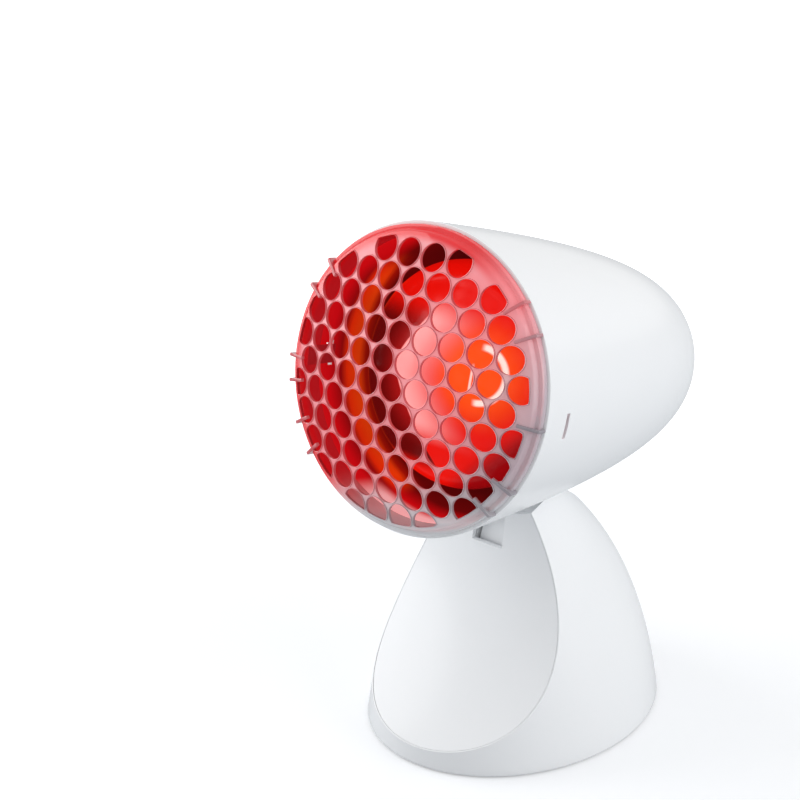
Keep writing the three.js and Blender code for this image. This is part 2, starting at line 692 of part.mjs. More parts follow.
function detentLeaf() {
  const [tipY, tipZ] = detentTip;
  const back = leafFace + LEAF_THICKNESS;
  const foot = cheekFootHeight + FIT_GAP;
  const strip = slabAcrossX([
    [leafFace, foot], [back, foot], [back, tipZ - LEAF_RISE / 2], [tipY, tipZ],
    [back, tipZ + LEAF_RISE / 2], [back, tipZ + LEAF_RISE], [leafFace, tipZ + LEAF_RISE],
    [leafFace, tipZ + LEAF_RISE / 2], [tipY - LEAF_THICKNESS, tipZ], [leafFace, tipZ - LEAF_RISE / 2],
  ], LEAF_WIDTH / 2);
  return cut(strip, rodAlongY(screwHole, leafFace - CUT_OVERRUN, back + CUT_OVERRUN, 0, bridgeMiddle));
}

function buildStand() {
  const stand = new THREE.Group();
  addPiece(stand, 'stand_shell', standShell(), whitePlastic);
  addPiece(stand, 'front_panel', frontPanel(), whitePlastic);
  addPiece(stand, 'base_plate', basePlate(), warmWhite);
  feet.forEach(([x, y], i) => {
    const foot = rodAlongZ(FOOT_RADIUS, 0, PLATE_UNDERSIDE, x, y, ROUND_SIDES);
    addPiece(stand, `rubber_foot_${i + 1}`, foot, rubber);
  });
  posts.forEach(([x, y], i) => {
    const mesh = addPiece(stand, `base_screw_${i + 1}`, screw(BASE_SCREW_LENGTH), steel);
    mesh.rotation.x = Math.PI / 2;
    mesh.position.set(x, y, PLATE_UNDERSIDE - FIT_GAP);
  });

  const hinge = new THREE.Group();
  hinge.position.set(0, HINGE_BEHIND_CENTRE, HINGE_HEIGHT);
  stand.add(hinge);
  const pinEnd = cheekOuter + FIT_GAP + NUT_THICKNESS + PIN_END_STUB;
  const headFace = cheekOuter + FIT_GAP;
  addPiece(hinge, 'hinge_pin', union(
    rodAlongX(PIN_RADIUS, -pinEnd, headFace + PIN_HEAD_THICKNESS),
    rodAlongX(PIN_HEAD_RADIUS, headFace, headFace + PIN_HEAD_THICKNESS),
  ), steel);
  const nut = rodAlongX(PIN_HEAD_RADIUS, -headFace - NUT_THICKNESS, -headFace, 0, 0, HEX_SIDES);
  const nutBore = rodAlongX(pinHole, -pinEnd, 0);
  addPiece(hinge, 'hinge_nut', cut(nut, nutBore), steel);
  const washerFrom = DRUM_WIDTH / 2 + FIT_GAP;
  const washerTo = cheekInner - FIT_GAP;
  [-1, 1].forEach((side) => {
    const [low, high] = [side * washerFrom, side * washerTo].sort((p, q) => p - q);
    const ring = cut(rodAlongX(WASHER_RADIUS, low, high), rodAlongX(pinHole, -pinEnd, pinEnd));
    addPiece(hinge, side < 0 ? 'friction_washer_left' : 'friction_washer_right', ring, blackPlastic);
  });

  addPiece(stand, 'detent_leaf', detentLeaf(), steel);
  const leafScrew = addPiece(stand, 'detent_screw', screw(BRIDGE_LENGTH), steel);
  leafScrew.rotation.x = Math.PI;
  leafScrew.position.set(0, leafFace + LEAF_THICKNESS + FIT_GAP + SCREW_HEAD_HEIGHT, bridgeMiddle);

  const gland = turned([
    [GLAND_BORE_RADIUS, GLAND_FLANGE_THICKNESS], [GLAND_BORE_RADIUS, -GLAND_NECK_LENGTH],
    [GLAND_NECK_RADIUS, -GLAND_NECK_LENGTH], [GLAND_NECK_RADIUS, 0], [GLAND_FLANGE_RADIUS, 0],
    [GLAND_FLANGE_RADIUS, GLAND_FLANGE_THICKNESS / 2], [GLAND_NECK_RADIUS, GLAND_FLANGE_THICKNESS],
    [GLAND_BORE_RADIUS, GLAND_FLANGE_THICKNESS],
  ], ROUND_SIDES);
  const glandMesh = addPiece(stand, 'cord_gland', gland, blackPlastic);
  glandMesh.position.set(0, glandSeat, GLAND_HEIGHT);
  const nutFace = -STAND_WALL - FIT_GAP;
  const glandNut = cut(
    rodAlongY(GLAND_NUT_RADIUS, nutFace - GLAND_NUT_THICKNESS, nutFace, 0, 0, HEX_SIDES),
    rodAlongY(GLAND_NECK_RADIUS + FIT_GAP, -GLAND_NECK_LENGTH, 0),
  );
  addPiece(stand, 'gland_nut', glandNut, blackPlastic).position.copy(glandMesh.position);

  const switchGroup = new THREE.Group();
  switchFrame.decompose(switchGroup.position, switchGroup.quaternion, switchGroup.scale);
  stand.add(switchGroup);
  addPiece(switchGroup, 'switch_housing', switchHousing(), blackPlastic);
  const rocker = addPiece(switchGroup, 'switch_rocker', switchRocker(), blackPlastic);
  rocker.position.y = -ROCKER_PIVOT_DEPTH;
  rocker.rotation.x = degrees(-ROCKER_THROW_DEGREES / 2);

  const blockFront = BLOCK_BEHIND_CENTRE - BLOCK_DEPTH / 2;
  const blockTop = plateTop + BLOCK_HEIGHT;
  const block = boxBetween(
    [-BLOCK_WIDTH / 2, blockFront, plateTop],
    [BLOCK_WIDTH / 2, blockFront + BLOCK_DEPTH, blockTop],
  );
  const poles = [-BLOCK_POLE_SPREAD / 2, BLOCK_POLE_SPREAD / 2];
  const screwDrop = BLOCK_HEIGHT / 2;
  const poleHoles = poles.map((x) => rodAlongZ(
    SCREW_HEAD_RADIUS + FIT_GAP, blockTop - screwDrop, blockTop + CUT_OVERRUN, x, BLOCK_BEHIND_CENTRE,
  ));
  addPiece(stand, 'terminal_block', cut(block, ...poleHoles), ceramic);
  poles.forEach((x, i) => {
    const mesh = addPiece(stand, `terminal_screw_${i + 1}`, rodAlongZ(
      SCREW_HEAD_RADIUS, 0, screwDrop - SCREW_HEAD_HEIGHT, 0, 0,
    ), brass);
    mesh.position.set(x, BLOCK_BEHIND_CENTRE, blockTop - screwDrop + FIT_GAP);
  });

  const drumBottom = HINGE_HEIGHT - DRUM_RADIUS - LEAD_RADIUS * 2;
  const leadStart = blockFront - FIT_GAP;
  const leadHeight = plateTop + BLOCK_HEIGHT / 2;
  const lift = drumBottom - leadHeight;
  const routeShares = [[1, 1, 0], [1, 0.6, 0.06], [0.7, 0.4, 0.4]];
  leadKinds.forEach(([kind, side, material]) => {
    const x = (side * BLOCK_POLE_SPREAD) / 2;
    addPiece(stand, `stand_lead_${kind}`, wire([
      ...routeShares.map(([across, back, up]) => [x * across, leadStart * back, leadHeight + lift * up]),
      [(side * LEAD_SPREAD) / 2, HINGE_BEHIND_CENTRE + LEAD_RADIUS, drumBottom - lift / 5],
      [(side * LEAD_SPREAD) / 2, HINGE_BEHIND_CENTRE, drumBottom],
    ], LEAD_RADIUS, LEAD_STEPS), material);
  });
  const tab = point(0, -SWITCH_BODY_DEPTH - FIT_GAP, -SWITCH_BODY_HEIGHT / 4).applyMatrix4(switchFrame);
  const blockBack = blockFront + BLOCK_DEPTH + FIT_GAP;
  addPiece(stand, 'switch_lead', wire([
    [tab.x, tab.y, tab.z],
    [tab.x, tab.y - LEAD_RADIUS * 4, tab.z - LEAD_RADIUS],
    [poles[0] / 2, (tab.y + blockBack) / 2, (tab.z + leadHeight) / 2],
    [poles[0], blockBack + LEAD_RADIUS * 4, leadHeight],
    [poles[0], blockBack, leadHeight],
  ], LEAD_RADIUS, LEAD_STEPS), copperLead);
  return stand;
}

// Posts of the lampholder's plate, from the top of the head round
const holderPosts = [];
for (let i = 0; i < HOLDER_POST_COUNT; i += 1) {
  const angle = (2 * Math.PI * i) / HOLDER_POST_COUNT;
  holderPosts.push([holderPostOffset * Math.sin(angle), holderPostOffset * Math.cos(angle)]);
}

// Screws from inside the head down into the arm, with their heads on the shell's inner wall
const armScrews = [-1, 1].map((side) => [(side * ARM_SCREW_SPREAD) / 2, -ARM_SCREW_BEFORE_HINGE]);
const armScrewBehind = MOUTH_BEFORE_HINGE - ARM_SCREW_BEFORE_HINGE + SCREW_HEAD_RADIUS;
const armScrewTop = axisAboveHinge - headRadius(armScrewBehind, SHELL_WALL) + 2 * FIT_GAP;

// Wall inside the mouth at the guard's hooks, and how far out the hooks reach
const latchWall = headRadius(LATCH_HOOK_START, SHELL_WALL);
const latchReach = latchWall + LATCH_HOOK_REACH;

// Bulb stations along the head's axis
const capStart = BULB_WIDEST_START + BULB_BOWL_LENGTH + BULB_NECK_LENGTH + FIT_GAP;
const capEnd = capStart + CAP_LENGTH;
const bulbEnd = capEnd + INSULATOR_THICKNESS + CONTACT_THICKNESS;
const neckEnd = capStart + CAP_LENGTH / 4;

function headShell() {
  const inner = headOutline(SHELL_WALL).reverse();
  const skin = turned([...inner, ...headOutline(0)], HEAD_SIDES);
  const reachIn = headSolid(SHELL_WALL / 2);
  const postFrom = holderPlateEnd + FIT_GAP;
  const columns = holderPosts.map(([x, z]) => rodAlongY(HOLDER_POST_RADIUS, postFrom, HEAD_LENGTH, x, z));
  const toHinge = axisToHinge.clone().invert();
  const armHoles = armScrews.map(([x, y]) => (
    moved(rodAlongZ(screwHole, 0, axisAboveHinge / 2, x, y), toHinge)
  ));
  const leadHole = moved(
    rodAlongZ(LEAD_HOLE_RADIUS, 0, axisAboveHinge / 2, 0, LEAD_HOLE_BEHIND_HINGE), toHinge,
  );
  const vents = [];
  for (let i = 0; i < VENT_COUNT; i += 1) {
    const angle = Math.PI + degrees(VENT_SPACING_DEGREES) * (i - (VENT_COUNT - 1) / 2);
    vents.push(moved(boxBetween(
      [-VENT_WIDTH / 2, VENT_START, headRadius(VENT_START + VENT_LENGTH) / 2],
      [VENT_WIDTH / 2, VENT_START + VENT_LENGTH, MOUTH_RADIUS],
    ), turnY(angle)));
  }
  const slits = [-1, 1].flatMap((side) => {
    const turn = turnY(side * degrees(LATCH_DEGREES));
    const slitStart = LATCH_HOOK_START - FIT_GAP;
    const window = boxBetween(
      [-SLIT_LENGTH / 2, slitStart, latchWall - CUT_OVERRUN],
      [SLIT_LENGTH / 2, slitStart + SLIT_HEIGHT, MOUTH_RADIUS + CUT_OVERRUN],
    );
    const guide = boxBetween(
      [-LATCH_WIDTH / 2 - FIT_GAP, -CUT_OVERRUN, latchWall - CUT_OVERRUN],
      [LATCH_WIDTH / 2 + FIT_GAP, LATCH_HOOK_START, latchReach + FIT_GAP],
    );
    return [moved(window, turn), moved(guide, turn)];
  });
  return cut(
    skin.add(union(...columns).intersect(reachIn)),
    ...columns.map((_, i) => rodAlongY(
      screwHole, postFrom - CUT_OVERRUN, postFrom + HOLDER_SCREW_LENGTH, ...holderPosts[i],
    )),
    ...armHoles, leadHole, ...vents, ...slits,
  );
}

// Arm under the head: a drum round the hinge, and a neck cut to the head's underside
function tiltArm() {
  const half = DRUM_WIDTH / 2;
  const drum = rodAlongX(DRUM_RADIUS, -half, half, 0, 0, HEAD_SIDES);
  const neck = boxBetween([-half, -NECK_LENGTH / 2, 0], [half, NECK_LENGTH / 2, axisAboveHinge / 2]);
  const end = half + CUT_OVERRUN;
  const notchReach = DRUM_RADIUS + NOTCH_RADIUS - NOTCH_DEPTH;
  const firstNotch = DETENT_DEGREES + REST_TILT_DEGREES - TILT_DOWN_DEGREES;
  const notches = [];
  for (let i = 0; i < TILT_STEPS; i += 1) {
    const angle = degrees(firstNotch + TILT_STEP_DEGREES * i);
    notches.push(rodAlongX(
      NOTCH_RADIUS, -end, end, notchReach * Math.cos(angle), notchReach * Math.sin(angle), SMALL_SIDES,
    ));
  }
  const screwEnd = armScrewTop - ARM_SCREW_LENGTH - CUT_OVERRUN;
  return cut(
    drum.add(neck),
    moved(headSolid(-FIT_GAP), axisToHinge),
    rodAlongX(pinHole, -end, end),
    rodAlongZ(LEAD_HOLE_RADIUS, -axisAboveHinge / 2, axisAboveHinge / 2, 0, LEAD_HOLE_BEHIND_HINGE),
    ...armScrews.map(([x, y]) => rodAlongZ(screwHole, screwEnd, axisAboveHinge, x, y)),
    ...notches,
  );
}

function buildHolder(axis) {
  const plate = cut(
    rodAlongY(holderPlateRadius, HOLDER_PLATE_START, holderPlateEnd, 0, 0, ROUND_SIDES),
    rodAlongY(HOLDER_RADIUS + FIT_GAP, 0, HEAD_LENGTH, 0, 0, ROUND_SIDES),
    rodAlongY(LEAD_PORT_RADIUS, 0, HEAD_LENGTH, 0, -holderPostOffset),
    ...holderPosts.map(([x, z]) => rodAlongY(screwHole, 0, HEAD_LENGTH, x, z)),
  );
  addPiece(axis, 'holder_plate', plate, steel);
  holderPosts.forEach(([x, z], i) => {
    const mesh = addPiece(axis, `holder_screw_${i + 1}`, screw(HOLDER_SCREW_LENGTH - FIT_GAP), steel);
    mesh.position.set(x, HOLDER_PLATE_START - FIT_GAP - SCREW_HEAD_HEIGHT, z);
  });

  const collarFrom = holderPlateEnd + FIT_GAP;
  const collarTo = collarFrom + HOLDER_COLLAR_THICKNESS;
  const end = HOLDER_START + HOLDER_LENGTH;
  const bore = CAP_RADIUS + FIT_GAP * 2 + THREAD_SLEEVE_WALL + FIT_GAP;
  const floor = end - HOLDER_FLOOR_THICKNESS;
  addPiece(axis, 'lamp_holder', turned([
    [0, floor], [bore, floor], [bore, HOLDER_START], [HOLDER_RADIUS, HOLDER_START],
    [HOLDER_RADIUS, collarFrom], [HOLDER_COLLAR_RADIUS, collarFrom], [HOLDER_COLLAR_RADIUS, collarTo],
    [HOLDER_BACK_RADIUS, collarTo + HOLDER_COLLAR_THICKNESS], [HOLDER_BACK_RADIUS, end], [0, end],
  ]), ceramic);
  const ringTo = HOLDER_PLATE_START - FIT_GAP;
  const ringFrom = ringTo - HOLDER_RING_THICKNESS;
  addPiece(axis, 'holder_ring', turned([
    [HOLDER_RADIUS + FIT_GAP, ringFrom], [HOLDER_RADIUS + FIT_GAP, ringTo],
    [HOLDER_COLLAR_RADIUS, ringTo], [HOLDER_COLLAR_RADIUS, ringFrom], [HOLDER_RADIUS + FIT_GAP, ringFrom],
  ]), ceramic);
  const sleeveInner = bore - FIT_GAP - THREAD_SLEEVE_WALL;
  const sleeveTo = floor - FIT_GAP;
  addPiece(axis, 'thread_sleeve', turned([
    [sleeveInner, HOLDER_START + FIT_GAP], [sleeveInner, sleeveTo],
    [bore - FIT_GAP, sleeveTo], [bore - FIT_GAP, HOLDER_START + FIT_GAP],
    [sleeveInner, HOLDER_START + FIT_GAP],
  ]), brass);
  const springFace = bulbEnd + FIT_GAP;
  const springHalf = SPRING_LENGTH / 2;
  addPiece(axis, 'contact_spring', slabAcrossX([
    [floor - FIT_GAP, -springHalf], [floor - FIT_GAP, springHalf],
    [floor - FIT_GAP - SPRING_THICKNESS, springHalf],
    [floor - FIT_GAP - SPRING_THICKNESS, -springHalf + SPRING_THICKNESS],
    [springFace + SPRING_THICKNESS, -springHalf + SPRING_THICKNESS],
    [springFace + SPRING_THICKNESS, springHalf / 2], [springFace, springHalf / 2],
    [springFace, -springHalf],
  ], SPRING_WIDTH / 2), brass);
}

// Outline of the bulb's glass from the middle of its face to its open neck
function glassOutline(inset) {
  const outline = [];
  const faceSteps = 5;
  const faceRadius = BULB_RADIUS - BULB_SHOULDER_LENGTH - inset / 2;
  const faceEnd = BULB_FACE_START + BULB_FACE_SAG;
  for (let i = 0; i <= faceSteps; i += 1) {
    const share = i / faceSteps;
    outline.push([faceRadius * share, BULB_FACE_START + inset + (BULB_FACE_SAG - inset / 2) * share ** 2]);
  }
  const shoulderSteps = 4;
  for (let i = 1; i <= shoulderSteps; i += 1) {
    const angle = (Math.PI / 2) * (i / shoulderSteps);
    outline.push([
      faceRadius + (BULB_RADIUS - inset - faceRadius) * Math.sin(angle),
      BULB_WIDEST_START - (BULB_WIDEST_START - faceEnd) * Math.cos(angle),
    ]);
  }
  const bowlSteps = 7;
  for (let i = 1; i <= bowlSteps; i += 1) {
    const share = i / bowlSteps;
    const swell = (1 + Math.cos(Math.PI * share ** BULB_SWELL_POWER)) / 2;
    outline.push([
      BULB_NECK_RADIUS - inset + (BULB_RADIUS - BULB_NECK_RADIUS) * swell,
      BULB_WIDEST_START + BULB_BOWL_LENGTH * share,
    ]);
  }
  const neckRadius = CAP_RADIUS - CAP_WALL - CAP_THREAD_DEPTH - FIT_GAP;
  outline.push([BULB_NECK_RADIUS - inset, capStart - BULB_NECK_LENGTH / 4]);
  outline.push([neckRadius - inset, capStart - FIT_GAP], [neckRadius - inset, neckEnd]);
  return outline;
}

// Screw cap with its thread as rings along a thin shell
function capShell() {
  const outer = [];
  const inner = [];
  const steps = CAP_THREAD_TURNS * 4;
  for (let i = 0; i <= steps; i += 1) {
    const depth = capStart + (CAP_LENGTH * i) / steps;
    const wave = (CAP_THREAD_DEPTH / 2) * (1 - Math.cos((Math.PI * i) / 2));
    outer.push([CAP_RADIUS - wave, depth]);
    inner.push([CAP_RADIUS - wave - CAP_WALL, depth]);
  }
  return turned([...outer, ...inner.reverse(), outer[0]], BULB_SIDES);
}

function buildBulb(axis) {
  addPiece(axis, 'bulb_glass', turned([
    ...glassOutline(0), ...glassOutline(BULB_GLASS_WALL).reverse(),
  ], BULB_SIDES), redGlass);
  addPiece(axis, 'bulb_cap', capShell(), brass);
  const insulatorFrom = capEnd + FIT_GAP;
  const insulatorTo = capEnd + INSULATOR_THICKNESS - FIT_GAP;
  addPiece(axis, 'cap_insulator', turned([
    [0, insulatorFrom], [CAP_RADIUS - CAP_WALL, insulatorFrom], [CONTACT_RADIUS, insulatorTo],
    [0, insulatorTo],
  ]), blackPlastic);
  addPiece(axis, 'tip_contact', turned([
    [0, capEnd + INSULATOR_THICKNESS], [CONTACT_RADIUS, capEnd + INSULATOR_THICKNESS],
    [CONTACT_RADIUS / 2, bulbEnd], [0, bulbEnd],
  ]), brass);
  const stemFrom = neckEnd - STEM_LENGTH;
  const flareRadius = CAP_RADIUS - CAP_WALL - CAP_THREAD_DEPTH - BULB_GLASS_WALL - 2 * FIT_GAP;
  addPiece(axis, 'glass_stem', turned([
    [0, stemFrom], [STEM_RADIUS, stemFrom], [STEM_RADIUS, neckEnd - STEM_RADIUS],
    [flareRadius, neckEnd], [0, neckEnd],
  ]), ceramic);
  const half = FILAMENT_SPAN / 2;
  const tipDepth = stemFrom - SUPPORT_LENGTH;
  const supportFoot = STEM_RADIUS / 2;
  [-1, 1].forEach((side) => {
    addPiece(axis, side < 0 ? 'filament_support_left' : 'filament_support_right', wire([
      [side * supportFoot, stemFrom - FIT_GAP, 0],
      [side * supportFoot * 2, stemFrom - SUPPORT_LENGTH / 2, 0],
      [side * half, tipDepth, 0],
    ], SUPPORT_RADIUS, 5), steel);
  });
  addPiece(axis, 'filament', wire([
    [-half, tipDepth - SUPPORT_RADIUS * 3, 0],
    [0, tipDepth - SUPPORT_RADIUS * 3 - FILAMENT_DROOP, 0],
    [half, tipDepth - SUPPORT_RADIUS * 3, 0],
  ], FILAMENT_RADIUS, 8), steel);
}

// Height of the guard's domed face in front of the mouth
const domeHeight = (radius) => DOME_RISE - DOME_DROP * (radius / MOUTH_RADIUS) ** 2;

// Middles of the round holes, in offset rows with one hole on the axis
function guardHoles() {
  const middles = [];
  const reach = holeFieldRadius + HOLE_RADIUS / 2;
  const rowPitch = HOLE_PITCH * Math.sqrt(3 / 4);
  const most = Math.ceil(reach / rowPitch);
  for (let row = -most; row <= most; row += 1) {
    const z = row * rowPitch;
    const shift = row % 2 ? HOLE_PITCH / 2 : 0;
    for (let column = -most; column <= most; column += 1) {
      const x = column * HOLE_PITCH + shift;
      if (Math.hypot(x, z) < reach) middles.push([x, z]);
    }
  }
  return middles;
}

function clearGuard() {
  const front = [];
  const back = [];
  for (let i = 0; i <= DOME_STEPS; i += 1) {
    const radius = (ledgeRadius * i) / DOME_STEPS;
    front.push([radius, -domeHeight(radius)]);
    back.push([radius, -domeHeight(radius) + DOME_THICKNESS]);
  }
  const dome = turned([...front, ...back.reverse()], DOME_SIDES);
  const skirtOuter = (depth) => headRadius(depth, SHELL_WALL) - FIT_GAP;
  const rimFace = -FIT_GAP - RIM_THICKNESS;
  const rimInner = holeFieldRadius;
  const rim = turned([
    [rimInner, -domeHeight(rimInner)], [ledgeRadius - RIM_STEP / 4, rimFace - RIM_STEP],
    [ledgeRadius, rimFace], [rimRadius - RIM_STEP / 4, rimFace],
    [rimRadius, rimFace + RIM_STEP / 4], [rimRadius, -FIT_GAP], [skirtOuter(0), -FIT_GAP],
    [skirtOuter(SKIRT_DEPTH), SKIRT_DEPTH], [skirtOuter(SKIRT_DEPTH) - SKIRT_WALL, SKIRT_DEPTH],
    [skirtOuter(0) - SKIRT_WALL, -FIT_GAP], [rimInner, -domeHeight(rimInner) + DOME_THICKNESS],
    [rimInner, -domeHeight(rimInner)],
  ], HEAD_SIDES);
  const field = rodAlongY(holeFieldRadius, -MOUTH_RADIUS, MOUTH_RADIUS, 0, 0, HEAD_SIDES);
  const holes = guardHoles().map(([x, z]) => rodAlongY(
    HOLE_RADIUS, -DOME_RISE - CUT_OVERRUN, 0, x, z, HOLE_SIDES,
  ));
  const ribFrom = rimRadius + RIB_OVERHANG - RIB_LENGTH;
  const rib = boxBetween(
    [-RIB_WIDTH / 2, rimFace - RIB_RISE, ribFrom],
    [RIB_WIDTH / 2, -FIT_GAP, rimRadius + RIB_OVERHANG],
  );
  const ribAngles = RIB_PAIRS_AT_DEGREES.flatMap((angle) => (
    [angle - RIB_PAIR_DEGREES / 2, angle + RIB_PAIR_DEGREES / 2]
  ));
  const latchOuter = latchWall - FIT_GAP;
  const latchInner = latchOuter - SKIRT_WALL;
  const hookEnd = LATCH_HOOK_START + LATCH_HOOK_HEIGHT;
  const latch = union(
    boxBetween([-LATCH_WIDTH / 2, 0, latchInner], [LATCH_WIDTH / 2, hookEnd, latchOuter - FIT_GAP]),
    boxBetween([-LATCH_WIDTH / 2, LATCH_HOOK_START, latchInner], [LATCH_WIDTH / 2, hookEnd, latchReach]),
  );
  return union(
    cut(dome, union(...holes).intersect(field)),
    rim,
    ...[...ribAngles, LATCH_DEGREES, -LATCH_DEGREES].map((angle) => moved(rib, turnY(degrees(angle)))),
    ...[-1, 1].map((side) => moved(latch, turnY(side * degrees(LATCH_DEGREES)))),
  );
}

function buildHead() {
  const head = new THREE.Group();
  head.position.set(0, HINGE_BEHIND_CENTRE, HINGE_HEIGHT);
  head.rotation.x = -degrees(REST_TILT_DEGREES);
  addPiece(head, 'tilt_arm', tiltArm(), whitePlastic);
  armScrews.forEach(([x, y], i) => {
    const mesh = addPiece(head, `arm_screw_${i + 1}`, screw(ARM_SCREW_LENGTH), steel);
    mesh.rotation.x = -Math.PI / 2;
    mesh.position.set(x, y, armScrewTop + SCREW_HEAD_HEIGHT);
  });

  // The leads leave the holder's back, drop to the wall, pass the plate and go down through the arm
  const holderBack = HOLDER_START + HOLDER_LENGTH + FIT_GAP - MOUTH_BEFORE_HINGE;
  const portMiddle = HOLDER_PLATE_START + HOLDER_PLATE_THICKNESS / 2 - MOUTH_BEFORE_HINGE;
  const portHeight = axisAboveHinge - holderPostOffset;
  const wallRadius = headRadius(MOUTH_BEFORE_HINGE + LEAD_HOLE_BEHIND_HINGE, SHELL_WALL);
  const wallHeight = axisAboveHinge - wallRadius + 2 * LEAD_RADIUS + FIT_GAP;
  const clampShares = [0.8, 0.7];
  const dropFrom = holderBack - LEAD_RADIUS * 2;
  const dropRadius = headRadius(dropFrom + MOUTH_BEFORE_HINGE, SHELL_WALL);
  const dropHeight = axisAboveHinge - (HOLDER_BACK_RADIUS + dropRadius) / 2;
  leadKinds.forEach(([kind, side, material]) => {
    const x = (side * LEAD_SPREAD) / 2;
    addPiece(head, `head_lead_${kind}`, wire([
      [x, holderBack + LEAD_RADIUS * clampShares[0], axisAboveHinge - HOLDER_BACK_RADIUS * clampShares[1]],
      [x, holderBack + LEAD_RADIUS * 2.5, axisAboveHinge - HOLDER_BACK_RADIUS - LEAD_RADIUS],
      [x, dropFrom, dropHeight],
      [x, portMiddle + LEAD_RADIUS * 8, portHeight + LEAD_RADIUS * 2],
      [x, portMiddle, portHeight],
      [x, LEAD_HOLE_BEHIND_HINGE + LEAD_RADIUS * 10, wallHeight + LEAD_RADIUS * 6],
      [x, LEAD_HOLE_BEHIND_HINGE + LEAD_RADIUS * 2, wallHeight + LEAD_RADIUS * 2],
      [x, LEAD_HOLE_BEHIND_HINGE, wallHeight - LEAD_RADIUS * 4],
      [x, LEAD_HOLE_BEHIND_HINGE, 0],
      [x, LEAD_HOLE_BEHIND_HINGE, -DRUM_RADIUS + LEAD_RADIUS * 2],
    ], LEAD_RADIUS, HEAD_LEAD_STEPS), material);
  });
  const axis = new THREE.Group();
  axis.position.set(0, -MOUTH_BEFORE_HINGE, axisAboveHinge);
  head.add(axis);
  addPiece(axis, 'head_shell', headShell(), whitePlastic);
  buildHolder(axis);
  addPiece(axis, 'clear_guard', clearGuard(), clearPlastic);
  buildBulb(axis);
  return head;
}

const lamp = new THREE.Group();
lamp.add(buildStand(), buildHead());

export default lamp;
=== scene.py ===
import json
import math

import bmesh
import bpy
from mathutils import Matrix, Vector


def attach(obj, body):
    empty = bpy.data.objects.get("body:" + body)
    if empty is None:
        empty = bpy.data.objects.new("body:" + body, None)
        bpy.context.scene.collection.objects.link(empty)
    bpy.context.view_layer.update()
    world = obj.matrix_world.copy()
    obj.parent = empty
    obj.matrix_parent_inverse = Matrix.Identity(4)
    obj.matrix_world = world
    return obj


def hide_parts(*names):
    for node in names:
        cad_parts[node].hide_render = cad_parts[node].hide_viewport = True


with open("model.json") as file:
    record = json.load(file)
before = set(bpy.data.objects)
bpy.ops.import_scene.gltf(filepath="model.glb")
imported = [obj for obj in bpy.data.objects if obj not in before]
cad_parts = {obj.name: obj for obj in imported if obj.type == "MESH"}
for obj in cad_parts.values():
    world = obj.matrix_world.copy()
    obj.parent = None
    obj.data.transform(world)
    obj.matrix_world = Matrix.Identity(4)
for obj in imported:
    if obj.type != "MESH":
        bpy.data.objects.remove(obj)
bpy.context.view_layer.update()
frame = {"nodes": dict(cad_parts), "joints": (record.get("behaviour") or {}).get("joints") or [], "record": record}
mm = 0.001
scene = bpy.context.scene
print("frame loaded,", len(frame["nodes"]), "nodes")

tiltJoint = next(joint for joint in frame["joints"] if joint["name"] == "head_tilt")
hinge = Vector(tiltJoint["pos_m"])

fit = {"gap": 0.3, "seam": 0.2, "swingGap": 1.2, "overrun": 4, "weld": 0.0005}  # clearances in mm
bore = {"pin": 2.8, "screw": 1.7, "lead": 2.9}  # radii of the holes in mm

head = {  # mm; depths run back from the mouth along the head's axis
    "mouthRadius": 64, "length": 172, "taperPower": 0.25, "wall": 2.4,
    "tilt": 13.4, "tiltDown": 10, "tiltUp": 30,
    "axisAboveHinge": 77.7, "mouthBeforeHinge": 95.4,
    "sides": 144, "steps": 44, "lipRound": 0.5,
}

stand = {  # mm; an ellipse on the floor that narrows and leans forward as it rises
    "width": 120.8, "depth": 147.4, "sideVanish": 163.3, "sidePower": 1.16,
    "backVanish": 119.9, "backPower": 2.4, "lift": 0.8, "cut": 114, "wall": 2.6,
    "toeHeight": 9.6, "neckHeight": 93.7, "neckBefore": 21.3, "arcRadius": 115, "crownRadius": 146,
    "panelThickness": 2.4, "seamInset": 0.45, "sill": 86, "slotWidth": 16, "slotRadius": 31.4, "cheek": 2.6,
    "sides": 160, "rings": 48,
}


# Sockets with Python arithmetic

class Link:
    def __init__(self, graph, socket):
        self.graph = graph
        self.socket = socket

    def __add__(self, other): return self.graph.math("ADD", self, other)
    def __radd__(self, other): return self.graph.math("ADD", other, self)
    def __sub__(self, other): return self.graph.math("SUBTRACT", self, other)
    def __rsub__(self, other): return self.graph.math("SUBTRACT", other, self)
    def __mul__(self, other): return self.graph.math("MULTIPLY", self, other)
    def __rmul__(self, other): return self.graph.math("MULTIPLY", other, self)
    def __truediv__(self, other): return self.graph.math("DIVIDE", self, other)
    def __neg__(self): return self.graph.math("MULTIPLY", self, -1)


